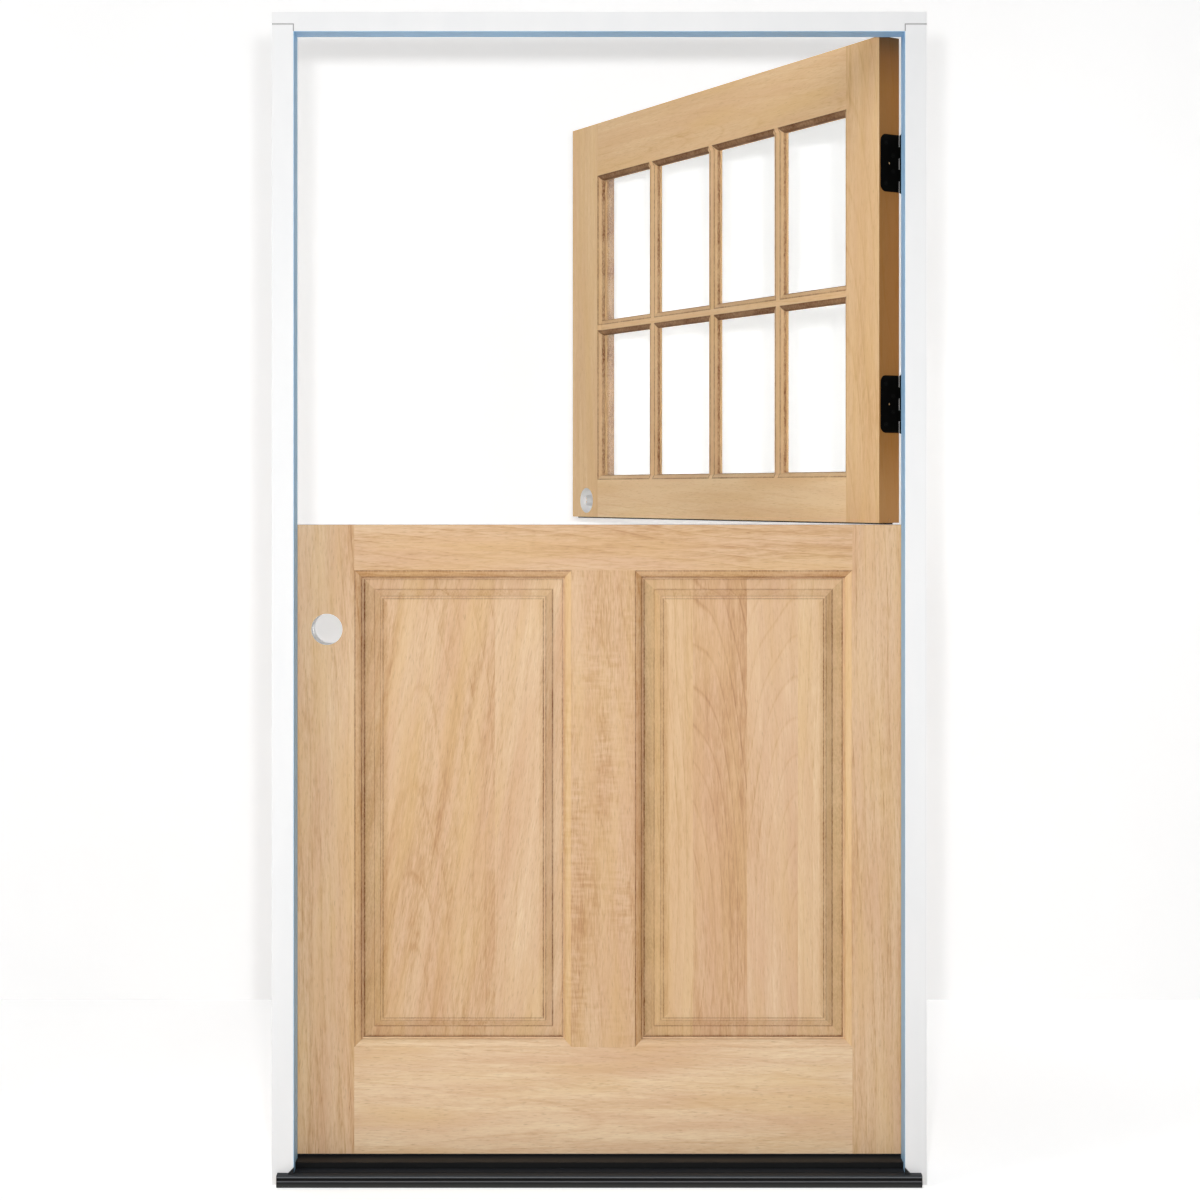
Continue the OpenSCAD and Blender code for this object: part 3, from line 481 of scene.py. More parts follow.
SIDE_TINTS = {
    "left": [
        (0.6, 0.0), (1.6, 0.34), (10.6, 0.34), (14.6, 0.06), (20.0, 0.0), (49.0, 0.0), (51.0, 0.30),
        (57.0, 0.26), (60.5, 0.0),
    ],
    "top": [(0.6, 0.0), (1.6, 0.44), (10.6, 0.40), (14.6, 0.06), (20.0, 0.0)],
    "right": [(33.2, 0.0), (34.4, 0.09), (46.0, 0.10), (49.0, 0.26), (55.0, 0.24), (58.5, 0.0)],
}
# Painted shade on the sunk rim of a panel; each side takes its own share of it.
RIM_SHADE_TINT = millimetres(
    [
        (15.0, 0.0), (15.6, 0.62), (24.0, 0.44), (33.8, 0.40), (36.0, 0.30), (45.0, 0.36),
        (51.0, 0.30), (58.0, 0.0),
    ]
)
RIM_SHADE_SHARES = {"left": 1.0, "top": 0.25, "right": 0.10, "bottom": 0.40, "far right": 0.90}
# Painted highlight on the lit sticking at the right of a panel.
RIGHT_STICKING_HIGHLIGHT = millimetres([(0.6, 0.0), (1.6, 0.5), (12.0, 0.4), (14.6, 0.0)])
PANE_REACH = 12.5
PANE_LINES = millimetres(
    [
        (0.0, 0.95), (1.2, 0.85), (2.2, 0.24), (7.2, 0.20), (8.8, 0.85), (10.0, 0.85),
        (11.0, 0.0),
    ],
    PANE_REACH,
)
print("stops round a panel:", len(PANEL_LINES), "and round a pane:", len(PANE_LINES))

# %% Painted shade round a panel
GROOVE_SHADE_BROWN = colour(112, 58, 6)
RIM_SHADE_OLIVE = colour(176, 144, 90)
SHADE_BROWN = colour(176, 124, 60)
LIT_HONEY = colour(230, 194, 138)
LINE_STRENGTH = 0.84


def speckle(net, spot, shift):
    """Unevenness for the painted shade: broad patches times small flecks."""
    patch = soft_noise(net, spot, (0.050, 0.050, 0.050), 2.0, 0.6, shift)
    fleck = soft_noise(net, spot, (0.0026, 0.0026, 0.0060), 2.0, 0.6, shift)
    patch = spread(net, patch, 0.32, 0.68, 0.55, 1.05)
    return work(net, "MULTIPLY", patch, spread(net, fleck, 0.32, 0.68, 0.60, 1.30))


def by_side(net, depth, sides, scales):
    """Adds up what each side's own scale says; a side is 1 for its own points, else 0."""
    total = 0.0
    for side, stops in scales.items():
        level = read_off(net, depth, millimetres(stops))
        total = work(net, "MULTIPLY_ADD", level, sides[side], total)
    return total


def paint_panel_shade_and_light(net, timber, spot, shift):
    """Painted shade in the grooves round a panel, on its sunk rim and on the mouldings in shade, and a
    painted highlight on the lit sticking.
    """
    depth, sides = panel_depth(net, spot)
    depth = work(net, "MULTIPLY", depth, 1000 / PANEL_REACH)
    uneven = speckle(net, spot, shift)
    share = 0.0
    for side, part in RIM_SHADE_SHARES.items():
        share = work(net, "MULTIPLY_ADD", sides[side], part, share)
    # Painted shade on the sunk rim.
    rim = work(net, "MULTIPLY", read_off(net, depth, RIM_SHADE_TINT), share)
    timber = mix_colours(net, work(net, "MULTIPLY", rim, uneven), timber, RIM_SHADE_OLIVE)
    shade = work(net, "MULTIPLY", by_side(net, depth, sides, SIDE_TINTS), uneven)
    timber = mix_colours(net, shade, timber, SHADE_BROWN)
    # Painted highlight on the lit sticking at the right.
    glow = work(net, "MULTIPLY", read_off(net, depth, RIGHT_STICKING_HIGHLIGHT), sides["right"])
    timber = mix_colours(net, glow, timber, LIT_HONEY)
    # Painted shade: brown lines in the grooves, kept strongest on the shaded sides.
    line = work(net, "MULTIPLY", read_off(net, depth, PANEL_LINES), LINE_STRENGTH)
    line = work(net, "MULTIPLY", line, by_side(net, depth, sides, LINES_KEPT))
    return mix_colours(net, work(net, "MULTIPLY", line, uneven), timber, GROOVE_SHADE_BROWN)


# The brown in the grooves is painted shade, broken up unevenly.
print("grooves are browned unevenly, as dust settles")

# %% Painted shade round the panes
# Painted shade on the downward face of the moulding above each pane.
HEAD_SHADE_BROWN = colour(96, 54, 16)
HEAD_REACH = 0.0108
HEAD_STRENGTH = 0.86


def paint_pane_shade(net, timber, spot, shift):
    """Painted shade in the grooves round each pane, and painted shade under the moulding above it."""
    out, above, within = pane_distance(net, spot)
    depth = work(net, "MULTIPLY", out, 1000 / PANE_REACH)
    # Painted shade in the grooves round each pane.
    line = read_off(net, depth, PANE_LINES)
    line = work(net, "MULTIPLY", work(net, "MULTIPLY", line, within), LINE_STRENGTH)
    uneven = speckle(net, spot, shift)
    timber = mix_colours(net, work(net, "MULTIPLY", line, uneven), timber, GROOVE_SHADE_BROWN)
    # Painted shade under the moulding above each pane.
    shade = work(net, "MULTIPLY", above, work(net, "GREATER_THAN", HEAD_REACH, out))
    shade = work(net, "MULTIPLY", work(net, "MULTIPLY", shade, within), HEAD_STRENGTH)
    shade = work(net, "MULTIPLY", shade, spread(net, uneven, 0.3, 1.3, 0.75, 1.15))
    return mix_colours(net, shade, timber, HEAD_SHADE_BROWN)


PAINTED_SHADE_AND_LIGHT = {"panel": paint_panel_shade_and_light, "pane": paint_pane_shade}
print("lines are drawn round each", " and each ".join(PAINTED_SHADE_AND_LIGHT))

# %% [markdown]
# The two panels are glued up from narrower staves, so their pattern jumps at each glue
# line. Each stave could be a piece with a finish of its own, but the panel is one solid.
# So the glue lines to the left of a point are counted, and the count picks the tone, the
# hue and the place in the tree of the stave that the point lies on.


# %% Staves of a glued-up panel
def stave_number(net, x, joints):
    """Counts the glue lines to the left of a point."""
    count = work(net, "GREATER_THAN", x, joints[0])
    for joint in joints[1:]:
        count = work(net, "ADD", count, work(net, "GREATER_THAN", x, joint))
    return count


def by_stave(net, count, levels):
    """A value that changes from stave to stave."""
    value = levels[0]
    for i, level in enumerate(levels[1:]):
        past = work(net, "GREATER_THAN", count, i + 0.5)
        value = work(net, "MULTIPLY_ADD", past, level - levels[i], value)
    return value


print("each stave has its own tone and its own place in the tree")

# %% [markdown]
# Bare timber is never one colour. Its tone is read off a scale from dark brown to pale
# straw, slow rosy and honey drifts lie over that, and fine brown pores on top. Noise in
# the brightness alone would be simpler, but it would look like painted board.

# %% Colour of the timber
TIMBER = [
    (0.0, colour(160, 110, 64)), (0.26, colour(196, 152, 106)),
    (0.50, colour(218, 182, 143)), (0.74, colour(227, 195, 158)),
    (1.0, colour(238, 212, 176)),
]
ROSY = {
    "tint": colour(213, 169, 134), "size": (0.035, 0.035, 0.34), "step": 3.1,
    "low": 0.42, "high": 0.66, "most": 0.42,
}
HONEY = {
    "tint": colour(221, 184, 130), "size": (0.040, 0.040, 0.30), "step": 7.7,
    "low": 0.46, "high": 0.70, "most": 0.45,
}
PORE_BROWN = colour(140, 92, 52)
PORE_SHARE = 0.30


def patches(net, board, size, shift, low, high, most):
    """Soft patches of a given size, from 0 between them to most inside."""
    noise = soft_noise(net, board, size, 2.0, 0.5, shift)
    return spread(net, noise, low, high, 0.0, most)


def timber_colour(net, board, value, pore, shift):
    """Tones from dark to pale, with rosy and honey drifts and brown pores."""
    timber = read_off(net, value, TIMBER)
    for drift in (ROSY, HONEY):
        moved = tuple(part + drift["step"] for part in shift)
        share = patches(
            net, board, drift["size"], moved, drift["low"], drift["high"], drift["most"]
        )
        timber = mix_colours(net, share, timber, drift["tint"])
    return mix_colours(net, work(net, "MULTIPLY", pore, PORE_SHARE), timber, PORE_BROWN)


print("tones of timber:", len(TIMBER))

# %% [markdown]
# Two places on the leaves are not plain timber. The open bores for the locks are sealed
# with white primer, and the hinge edge of the upper leaf carries painted brown shade, with
# a painted shadow darkest at its top. Both are found by place, as the grooves are, so no
# piece has to be cut in two.

# %% Sealed bores and painted shade on the hinge edge
BORES = {"lower": (-0.4752, 0.9525), "upper": (-0.4752, 1.1735)}
BORE_RADIUS = 0.02715
LATCH_RADIUS = 0.01285
BORE_PRIMER = colour(247, 247, 247)
LEAF_MID_Y = 0.06975
HINGE_EDGE_X = 0.5351
HINGE_EDGE_Z = (1.1375, 1.994)
# Painted shade on the hinge edge, and a painted shadow darkest at its top.
EDGE_SHADE_BROWNS = [
    (0.0, colour(178, 130, 76)), (0.16, colour(146, 92, 22)), (0.90, colour(142, 88, 14)),
    (0.955, colour(124, 72, 10)), (1.0, colour(56, 30, 6)),
]
EDGE_SHADE_STRENGTH = 0.86


def sealed_bore(net, spot, leaf):
    """1 on the walls of the lock bore and of the latch bore that meets it."""
    x, y, z = apart(net, spot)
    from_x = work(net, "SUBTRACT", x, BORES[leaf][0])
    from_z = work(net, "SUBTRACT", z, BORES[leaf][1])
    from_y = work(net, "SUBTRACT", y, LEAF_MID_Y)
    round_lock = length_of(net, joined(net, from_x, from_z, 0.0))
    round_latch = length_of(net, joined(net, from_y, from_z, 0.0))
    lock = work(net, "LESS_THAN", round_lock, BORE_RADIUS)
    latch = work(net, "LESS_THAN", round_latch, LATCH_RADIUS)
    near = work(net, "LESS_THAN", from_x, 0.0)
    return work(net, "MAXIMUM", lock, work(net, "MULTIPLY", latch, near))


def paint_edge_shade(net, timber, spot):
    """Painted shade past the hinge edge, darker with the height, with a painted shadow at its top."""
    x, _, z = apart(net, spot)
    # Painted shade and shadow on the hinge edge.
    edge = work(net, "MULTIPLY", work(net, "GREATER_THAN", x, HINGE_EDGE_X), EDGE_SHADE_STRENGTH)
    brown = read_off(net, spread(net, z, *HINGE_EDGE_Z, 0.0, 1.0), EDGE_SHADE_BROWNS)
    return mix_colours(net, edge, timber, brown)


print("hinge edge is darker past x =", HINGE_EDGE_X)

# %% [markdown]
# The grain itself is four layers of noise, all stretched along the board: short flecks,
# long streaks, slow drifts and dark pores. The middle upright also has curl, the ripples
# across the grain that show where a tree's fibres ran in waves.

# %% Layers of the grain
FLECK_SIZE = (0.0024, 0.0024, 0.026)
STREAK_SIZE = (0.013, 0.013, 0.30)
DRIFT_SIZE = (0.060, 0.060, 0.50)
PORE_SIZE = (0.0011, 0.0011, 0.015)
PORE_RANGE = (0.62, 0.74)
CURL_SIZE = (0.030, 0.030, 0.0065)
CURL_PATCH = (0.06, 0.06, 0.16)


def grain_layers(net, grain, shift):
    """Flecks, streaks, drifts and pores, each from 0 to 1."""
    fleck = soft_noise(net, grain, FLECK_SIZE, 3.0, 0.62, shift)
    streak = soft_noise(net, grain, STREAK_SIZE, 3.0, 0.5, shift)
    drift = soft_noise(net, grain, DRIFT_SIZE, 2.0, 0.5, shift)
    pore = soft_noise(net, grain, PORE_SIZE, 1.0, 0.5, shift)
    return fleck, streak, drift, spread(net, pore, *PORE_RANGE, 0.0, 1.0)


def curly_figure(net, board, shift):
    """Ripples across the grain, in patches, darker below zero and paler above."""
    figure = soft_noise(net, board, CURL_SIZE, 2.0, 0.5, shift)
    where = patches(net, board, CURL_PATCH, shift, 0.40, 0.60, 1.0)
    return work(net, "MULTIPLY", work(net, "SUBTRACT", figure, 0.5), where)


print("a fleck is about", round(FLECK_SIZE[2] * 1000), "mm long")

# %% [markdown]
# Now one function makes the finish of one board from all of this. A seed shifts the
# pattern, so that no two boards are cut from the same spot of the tree. Stiles and the
# middle upright have standing grain, rails have level grain. Rings and layers add up to
# one value, and the usual sum is taken off again, so that a tone of 0.5 is a middling
# board.

# %% Timber for one board
SEED_STEPS = (0.37, 0.53, 0.71)
STAVE_STEP = 0.457
FLECK_SHARE = 0.84
DRIFT_SHARE = 0.68
USUAL_SUM = 1.24
STAVE_ROSE = colour(216, 172, 138)
STAVE_HONEY = colour(224, 188, 136)
UPPER_GOLD = colour(230, 188, 124)
GOLD_SHARE = 0.32


def wood_board(
    name, seed, level=False, upper=False, tone=0.5, ring=0.016, pith=(0.4, 0.1, 0.03, 0.02),
    slant=0.0, ringed=0.34, streaked=0.60, curl=0.0, joints=(), tones=(), piths=(), hues=(),
    lines=None, bore=False, shaded_hinge_edge=False,
):
    """One board. Its pith: place across and deep, tilt to the side, lean to the back."""
    finish, net, shader = new_finish(name)
    spot = leaf_place(net, upper)
    board = along_grain(net, spot, level)
    shift = tuple(seed * step % 1.0 for step in SEED_STEPS)
    across, deep, along = apart(net, board)
    if joints:
        count = stave_number(net, across, joints)
        tone = by_stave(net, count, tones)
        pith = (by_stave(net, count, piths), *pith[1:])
        along = work(net, "MULTIPLY_ADD", count, STAVE_STEP, along)
    reach = ring_reach(net, board, pith, shift)
    across = work(net, "MULTIPLY_ADD", along, -slant, across)
    grain = joined(net, across, deep, along)
    fleck, streak, drift, pore = grain_layers(net, grain, shift)

    value = work(net, "MULTIPLY_ADD", late_wood(net, reach, ring), ringed, tone)
    for layer, share in ((fleck, FLECK_SHARE), (streak, streaked), (drift, DRIFT_SHARE)):
        value = work(net, "MULTIPLY_ADD", layer, share, value)
    value = work(net, "SUBTRACT", value, USUAL_SUM)
    if curl:
        value = work(net, "MULTIPLY_ADD", curly_figure(net, board, shift), curl, value)
    timber = timber_colour(net, grain, value, pore, shift)
    if hues:
        rosy = by_stave(net, count, [max(hue, 0.0) for hue in hues])
        honey = by_stave(net, count, [max(-hue, 0.0) for hue in hues])
        timber = mix_colours(net, rosy, timber, STAVE_ROSE)
        timber = mix_colours(net, honey, timber, STAVE_HONEY)
    if upper:
        timber = mix_colours(net, GOLD_SHARE, timber, UPPER_GOLD)
    if lines:
        timber = PAINTED_SHADE_AND_LIGHT[lines](net, timber, spot, shift)
    if shaded_hinge_edge:
        timber = paint_edge_shade(net, timber, spot)
    if bore:
        sealed = sealed_bore(net, spot, "upper" if upper else "lower")
        timber = mix_colours(net, sealed, timber, BORE_PRIMER)

    net.links.new(timber, shader.inputs["Base Color"])
    shader.inputs["Specular IOR Level"].default_value = 0.28
    net.links.new(spread(net, fleck, 0.3, 0.7, 0.50, 0.66), shader.inputs["Roughness"])
    bump_from(net, shader, work(net, "MULTIPLY_ADD", pore, -0.6, fleck), 0.00014, 0.8)
    return finish


print("usual sum of rings and layers:", USUAL_SUM)

# %% [markdown]
# Each board of the door has a tone of its own: the bottom rail is pale, and the second
# stave of the right panel is dark and rosy. The pith of a board decides its figure. A
# pith far to the side gives straight lines, and one close behind the face gives arches.

# %% Timber of the lower leaf
LEFT_JOINTS = (-0.1821,)
RIGHT_JOINTS = (0.1636, 0.2579, 0.3469)
lower_boards = {
    "lower_lock_stile": wood_board(
        "lock_stile_wood", 1.0, tone=0.53, lines="panel", bore=True, pith=(-0.20, 0.02, 0.06, 0.05)
    ),
    "lower_hinge_stile": wood_board(
        "hinge_stile_wood", 2.3, tone=0.51, lines="panel", pith=(0.80, 0.10, 0.05, 0.03)
    ),
    "lower_top_rail": wood_board(
        "top_rail_wood", 3.1, level=True, tone=0.48, lines="panel", pith=(1.30, 0.02, 0.13, 0.05)
    ),
    "lower_bottom_rail": wood_board(
        "bottom_rail_wood", 4.7, level=True, tone=0.86, lines="panel",
        pith=(0.10, 0.05, 0.04, 0.05),
    ),
    "lower_mullion": wood_board(
        "middle_upright_wood", 5.9, tone=0.69, ringed=0.20, streaked=0.26, lines="panel", curl=0.50,
        pith=(-0.06, 0.02, -0.05, 0.10),
    ),
    "left_panel": wood_board(
        "left_panel_wood", 6.4, ring=0.017, ringed=0.22, lines="panel", slant=0.15,
        pith=(0.0, -0.05, -0.02, 0.12), joints=LEFT_JOINTS, tones=(0.54, 0.67),
        piths=(-0.33, 0.30),
    ),
    "right_panel": wood_board(
        "right_panel_wood", 7.6, ring=0.015, ringed=0.44, lines="panel", slant=-0.03,
        pith=(0.0, -0.127, 0.0, 0.20), joints=RIGHT_JOINTS, tones=(0.43, 0.31, 0.56, 0.60),
        piths=(-0.25, 0.142, 0.352, 0.95), hues=(-0.30, 0.20, 0.25, -0.20),
    ),
    "lower_dowels": wood_board("dowel_wood", 15.2, level=True),
    "sill_base": wood_board("sill_core_wood", 16.6, level=True, tone=0.40),
}
for name, finish in lower_boards.items():
    dress(finish, name)
print("boards of the lower leaf and the sill:", len(lower_boards))

# %% Timber of the upper leaf
upper_boards = {
    "upper_lock_stile": wood_board(
        "upper_lock_stile_wood", 8.2, upper=True, tone=0.70, lines="pane", bore=True,
        pith=(-0.80, 0.05, 0.05, 0.03),
    ),
    "upper_hinge_stile": wood_board(
        "upper_hinge_stile_wood", 9.5, upper=True, tone=0.47, lines="pane",
        shaded_hinge_edge=True, pith=(0.47, -0.10, 0.03, 0.10),
    ),
    "upper_top_rail": wood_board(
        "upper_top_rail_wood", 10.3, level=True, upper=True, tone=0.68, lines="pane",
        pith=(1.90, -0.01, 0.02, 0.10),
    ),
    "upper_bottom_rail": wood_board(
        "upper_bottom_rail_wood", 11.8, level=True, upper=True, tone=0.97, lines="pane",
        pith=(1.00, 0.04, 0.06, 0.03),
    ),
    "cross_bar": wood_board(
        "cross_bar_wood", 12.1, level=True, upper=True, tone=0.66, lines="pane"
    ),
    "upper_dowels": lower_boards["lower_dowels"],
}
for name, finish in upper_boards.items():
    dress(finish, name)
bars = wood_board("upright_bar_wood", 13.4, upper=True, tone=0.62, lines="pane")
beads = wood_board("bead_wood", 14.9, upper=True, tone=0.50)
for row in ("upper", "lower"):
    dress(beads, f"{row}_row_beads")
    dress(bars, *(f"{row}_bar_{i}" for i in (1, 2, 3)))
print("boards of the upper leaf, without bars and beads:", len(upper_boards))

# %% [markdown]
# The jambs and the head are primed white. The faces of the stop that look into the
# opening lie in shade, and that shade is painted grey-blue. The coats are thin and rolled
# on, so the surface has a faint orange-peel bump. A mask by place keeps the painted blue
# shade to the faces that line the opening, so no second piece is needed. The head sits in
# a notch of each jamb, and the paint cracks along that joint, which draws a thin grey line.

# %% Joint of head and jambs
OPENING_HALF = 0.5262
OPENING_TOP = 1.9847
JOINT_Z = 1.997
JOINT_HALF = 0.0009


def head_joint(net, x, z):
    """1 on the thin line where the head meets the top of each jamb."""
    out = work(net, "ABSOLUTE", x)
    level = work(net, "LESS_THAN", off_middle(net, z, JOINT_Z), JOINT_HALF)
    level = work(net, "MULTIPLY", level, work(net, "GREATER_THAN", out, OPENING_HALF - JOINT_HALF))
    upright = work(net, "LESS_THAN", off_middle(net, out, OPENING_HALF), JOINT_HALF)
    over = work(net, "GREATER_THAN", z, OPENING_TOP)
    over = work(net, "MULTIPLY", over, work(net, "LESS_THAN", z, JOINT_Z))
    return work(net, "MAXIMUM", level, work(net, "MULTIPLY", upright, over))


print("the joint lies", round(JOINT_Z - OPENING_TOP, 4), "m above the opening")

# %% Primed frame
PRIMER_WHITES = [(0.25, colour(241, 242, 243)), (0.75, colour(247, 247, 247))]
JOINT_GREY = colour(150, 147, 148)


def primed_frame(name, deep_shade_blue, pale_shade_blue):
    """White primer, with painted blue shade where the frame lines the opening."""
    finish, net, shader = new_finish(name)
    spot = leaf_place(net)
    x, _, z = apart(net, spot)
    cloud = soft_noise(net, spot, (0.08, 0.08, 0.30), 3.0, 0.55)
    white = read_off(net, cloud, PRIMER_WHITES)
    # Painted shade: blue on the faces of the stop that line the opening.
    blue = read_off(net, cloud, [(0.25, deep_shade_blue), (0.75, pale_shade_blue)])
    side = work(net, "LESS_THAN", work(net, "ABSOLUTE", x), OPENING_HALF)
    low = work(net, "LESS_THAN", z, OPENING_TOP)
    paint = mix_colours(net, work(net, "MULTIPLY", side, low), white, blue)
    paint = mix_colours(net, head_joint(net, x, z), paint, JOINT_GREY)
    net.links.new(paint, shader.inputs["Base Color"])
    shader.inputs["Specular IOR Level"].default_value = 0.30
    net.links.new(spread(net, cloud, 0.3, 0.7, 0.42, 0.56), shader.inputs["Roughness"])
    peel = soft_noise(net, spot, (0.0012, 0.0012, 0.0018), 2.0, 0.5)
    bump_from(net, shader, peel, 0.00006, 0.5)
    return finish


shaded = primed_frame("frame_primer", colour(148, 190, 225), colour(160, 202, 236))
dress(shaded, "head_jamb", "hinge_jamb")
# The strike jamb's stop faces get less light, so their painted blue shade is paler.
paler_shade_primer = primed_frame("paler_shade_frame_primer", colour(158, 206, 242), colour(168, 214, 248))
dress(paler_shade_primer, "strike_jamb")
print("primed pieces: head, hinge jamb, strike jamb")

# %% [markdown]
# The sill is drawn metal with a dark coat. Drawing leaves faint lines along its length.
# Painted highlights lie on its high edges and painted shade in its grooves, so the nose
# reads as bright and black stripes. Those stripes follow the height on the nose, so a scale
# read off the height lays them down. The tread is graded in painted shade, and its riser
# and a groove across it are painted black as shade.


# %% Drawn metal
def drawn_lines(net, spot):
    """Fine lines along the length of the sill."""
    return soft_noise(net, spot, (0.5, 0.0007, 0.0007), 3.0, 0.6)


def metal_surface(net, shader, spot, line, rough):
    """Clouded sheen, and a bump from the drawn lines."""
    cloud = soft_noise(net, spot, (0.10, 0.02, 0.02), 3.0, 0.6)
    shader.inputs["Specular IOR Level"].default_value = 0.12
    net.links.new(spread(net, cloud, 0.3, 0.7, rough - 0.06, rough + 0.12), shader.inputs["Roughness"])
    bump_from(net, shader, line, 0.00005, 0.6)


print("drawn lines run along x, about 0.7 mm apart")

# %% Tread of the sill
NOSE_TOP_Z = 0.0205
NOSE_FRONT_Y = -0.0124
NOSE_LIGHT_AND_SHADE_STRIPES = millimetres(
    [
        (0.0, colour(64, 65, 63)), (4.0, colour(52, 52, 51)), (8.5, colour(26, 27, 28)),
        (9.4, colour(24, 25, 27)), (9.8, colour(96, 97, 100)), (11.4, colour(96, 97, 100)),
        (11.9, colour(12, 12, 14)), (12.8, colour(2, 2, 3)), (16.2, colour(2, 2, 3)),
        (16.6, colour(104, 108, 112)), (18.4, colour(104, 108, 112)), (18.9, colour(60, 64, 68)),
        (20.4, colour(52, 56, 60)),
    ],
    NOSE_TOP_Z * 1000,
)
TREAD_Y = (-0.012, 0.016)
TREAD_PAINTED_SHADES = [(0.0, colour(46, 50, 53)), (0.5, colour(42, 45, 50)), (1.0, colour(36, 39, 43))]
TREAD_LINE = (-0.0013, 0.0001)
RISER_Y = 0.0158
CREASE_SHADE_BLACK = colour(10, 11, 12)
RUBBED_BLACK = colour(14, 15, 17)


def sill_tread_metal(name):
    """Nose striped with painted highlights and painted shade, tread graded in painted shade, and
    painted black shade in the groove across it and on the riser.
    """
    finish, net, shader = new_finish(name)
    spot = leaf_place(net)
    _, y, z = apart(net, spot)
    # Painted highlights and painted shade on the nose, read off the height.
    nose = read_off(net, work(net, "DIVIDE", z, NOSE_TOP_Z), NOSE_LIGHT_AND_SHADE_STRIPES)
    tread = read_off(net, spread(net, y, *TREAD_Y, 0.0, 1.0), TREAD_PAINTED_SHADES)
    metal = mix_colours(net, work(net, "LESS_THAN", y, NOSE_FRONT_Y), tread, nose)
    past = work(net, "GREATER_THAN", y, TREAD_LINE[0])
    before = work(net, "LESS_THAN", y, TREAD_LINE[1])
    # Painted shade: black in the groove across the tread, and on the riser below.
    metal = mix_colours(net, work(net, "MULTIPLY", past, before), metal, CREASE_SHADE_BLACK)
    metal = mix_colours(net, work(net, "GREATER_THAN", y, RISER_Y), metal, CREASE_SHADE_BLACK)
    line = drawn_lines(net, spot)
    metal = mix_colours(net, spread(net, line, 0.45, 0.75, 0.0, 0.35), metal, RUBBED_BLACK)
    net.links.new(metal, shader.inputs["Base Color"])
    metal_surface(net, shader, spot, line, 0.40)
    return finish


dress(sill_tread_metal("sill_tread_metal"), "sill_tread")
print("stops of the stripes on the nose:", len(NOSE_LIGHT_AND_SHADE_STRIPES))

# %% Cap of the sill
CAP_SHADES = [(0.3, colour(30, 30, 31)), (0.7, colour(44, 44, 44))]


def sill_cap_metal(name):
    finish, net, shader = new_finish(name)
    spot = leaf_place(net)
    line = drawn_lines(net, spot)
    net.links.new(read_off(net, line, CAP_SHADES), shader.inputs["Base Color"])
    metal_surface(net, shader, spot, line, 0.46)
    return finish


dress(sill_cap_metal("sill_cap_metal"), "sill_cap")
print("cap of the sill: dark drawn metal")

# %% [markdown]
# The hinges have a black baked coat with a fine grain, and their screws are black too. A
# flat black would look like a hole in the door, so the grain breaks up a little sheen.
# The long screws that hold the frame together are plain bright steel.


# %% Hinges and their screws
def baked_black(name, level, rough):
    """A black coat as dark as its screen level, with a fine grain."""
    finish, net, shader = new_finish(name)
    grain = soft_noise(net, leaf_place(net), (0.0007, 0.0007, 0.0007), 3.0, 0.6)
    shades = [(0.3, colour(level, level, level)), (0.75, colour(level + 8, level + 8, level + 7))]
    net.links.new(read_off(net, grain, shades), shader.inputs["Base Color"])
    net.links.new(spread(net, grain, 0.3, 0.7, rough, rough + 0.16), shader.inputs["Roughness"])
    shader.inputs["Specular IOR Level"].default_value = 0.07
    bump_from(net, shader, grain, 0.00005, 0.6)
    return finish


hinge_coat = baked_black("hinge_black_coat", 2, 0.52)
screw_coat = baked_black("screw_black_coat", 14, 0.38)
for i in (1, 2, 3, 4):
    dress(hinge_coat, f"jamb_hinge_leaf_{i}", f"door_hinge_leaf_{i}", f"hinge_pin_{i}")
dress(screw_coat, "jamb_hinge_screws", "lower_hinge_screws", "upper_hinge_screws")
print("four hinges in a black baked coat")

# %% Screws of the frame
STEEL_SHADES = [(0.3, colour(150, 148, 144)), (0.7, colour(196, 194, 190))]


def bright_steel(name):
    """Bare steel with the marks of the lathe."""
    finish, net, shader = new_finish(name)
    turned = soft_noise(net, leaf_place(net), (0.004, 0.004, 0.0004), 3.0, 0.6)
    net.links.new(read_off(net, turned, STEEL_SHADES), shader.inputs["Base Color"])
    shader.inputs["Metallic"].default_value = 1.0
    net.links.new(spread(net, turned, 0.3, 0.7, 0.28, 0.42), shader.inputs["Roughness"])
    bump_from(net, shader, turned, 0.00003, 0.5)
    return finish


dress(bright_steel("frame_screw_steel"), "frame_screws")
print("screws of the frame in bright steel")

# %% [markdown]
# Seals, sweep and corner pads are soft black rubber. Rubber is dull, with a dusty bloom.
# A rough shader alone would look like black paint, so a little noise in the colour gives
# the bloom, and a fine bump the skin.


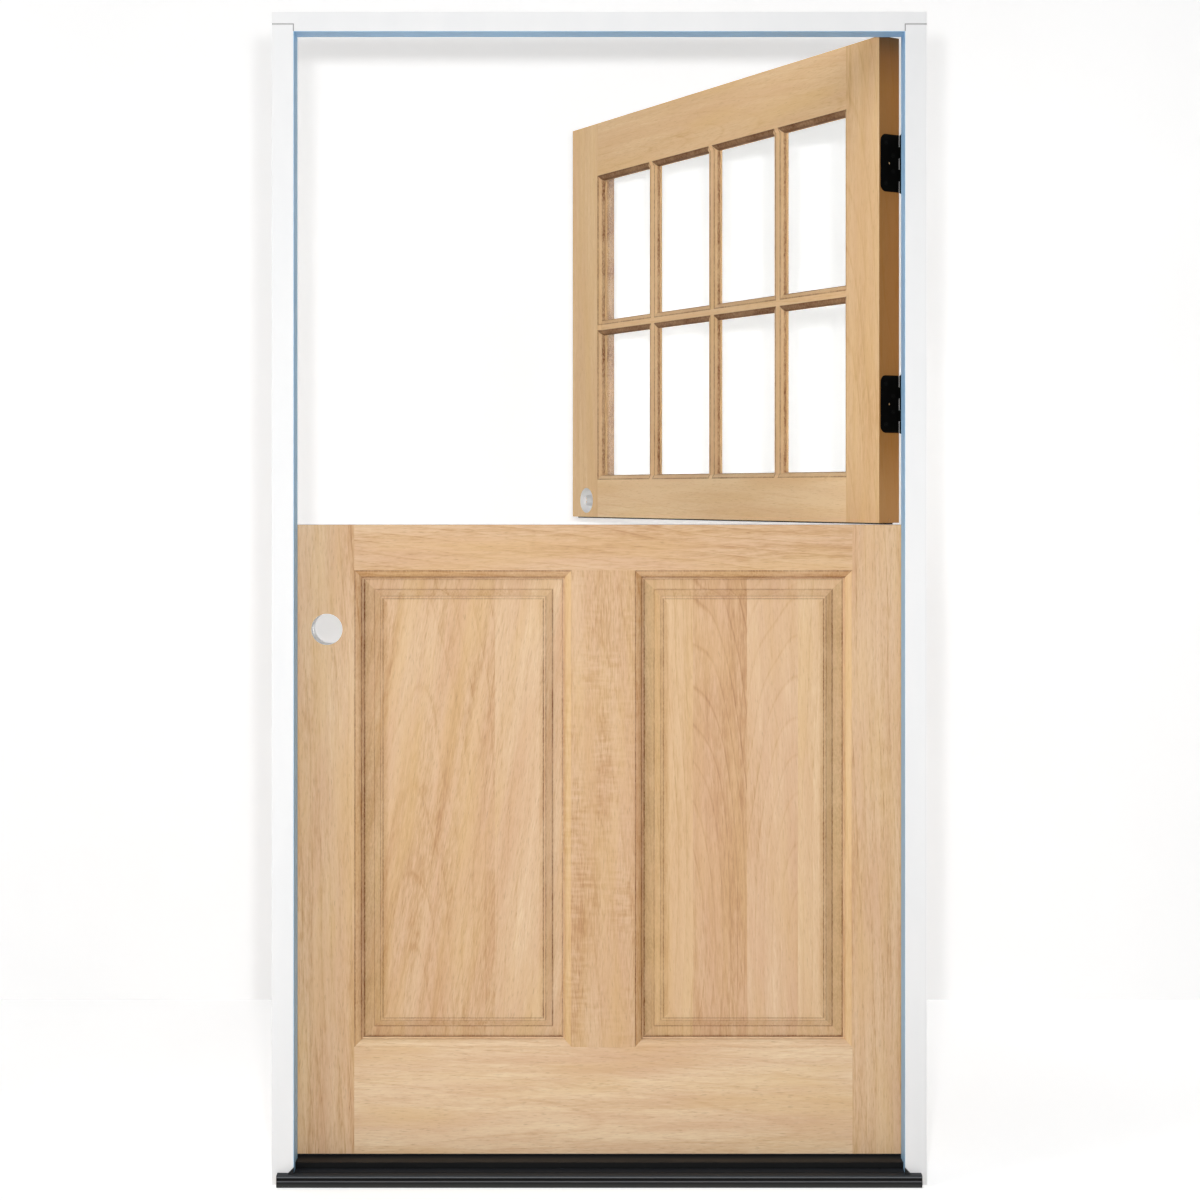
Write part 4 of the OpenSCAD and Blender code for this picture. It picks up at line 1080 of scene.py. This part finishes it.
# %% Rubber
def soft_rubber(name, dark, light):
    """Dull rubber with a bloom between two tones."""
    finish, net, shader = new_finish(name)
    spot = leaf_place(net)
    bloom = soft_noise(net, spot, (0.012, 0.012, 0.012), 4.0, 0.6)
    net.links.new(read_off(net, bloom, [(0.3, dark), (0.75, light)]), shader.inputs["Base Color"])
    net.links.new(spread(net, bloom, 0.3, 0.7, 0.70, 0.86), shader.inputs["Roughness"])
    shader.inputs["Specular IOR Level"].default_value = 0.3
    skin = soft_noise(net, spot, (0.0008, 0.0008, 0.0008), 2.0, 0.6)
    bump_from(net, shader, skin, 0.00006, 0.6)
    return finish


seal_rubber = soft_rubber("seal_rubber", colour(24, 24, 25), colour(42, 42, 43))
dress(seal_rubber, "head_seal", "hinge_seal", "strike_seal", "meeting_seal", "door_sweep")
dress(soft_rubber("pad_rubber", colour(14, 16, 18), colour(26, 28, 30)), "sill_corner_pads")
print("rubber: seals, sweep and corner pads")

# %% [markdown]
# Window glass is clear with the faintest green, and drawn sheets are never quite flat.
# A shader that only lets the view through would leave the panes out of sight, so this one
# is real glass, and a long shallow wave in the bump bends its reflections. The panes cast
# no shadow, because clear glass lets the lamps through.

# %% Panes of glass
GLASS_TINT = (0.985, 0.995, 0.99, 1)


def window_glass(name):
    """Clear glass with a faint smear and a long wave."""
    finish, net, shader = new_finish(name)
    spot = leaf_place(net, upper=True)
    shader.inputs["Base Color"].default_value = GLASS_TINT
    shader.inputs["Transmission Weight"].default_value = 1.0
    shader.inputs["IOR"].default_value = 1.45
    smear = soft_noise(net, spot, (0.05, 0.05, 0.09), 4.0, 0.6)
    net.links.new(spread(net, smear, 0.35, 0.75, 0.0, 0.012), shader.inputs["Roughness"])
    wave = soft_noise(net, spot, (0.12, 0.12, 0.30), 1.0, 0.4)
    bump_from(net, shader, wave, 0.0002, 0.10)
    return finish


pane_glass = window_glass("pane_glass")
panes = [f"{row}_pane_{i}" for row in ("upper", "lower") for i in (1, 2, 3, 4)]
dress(pane_glass, *panes)
for name in panes:
    nodes[name].visible_shadow = False
print("panes:", len(panes))
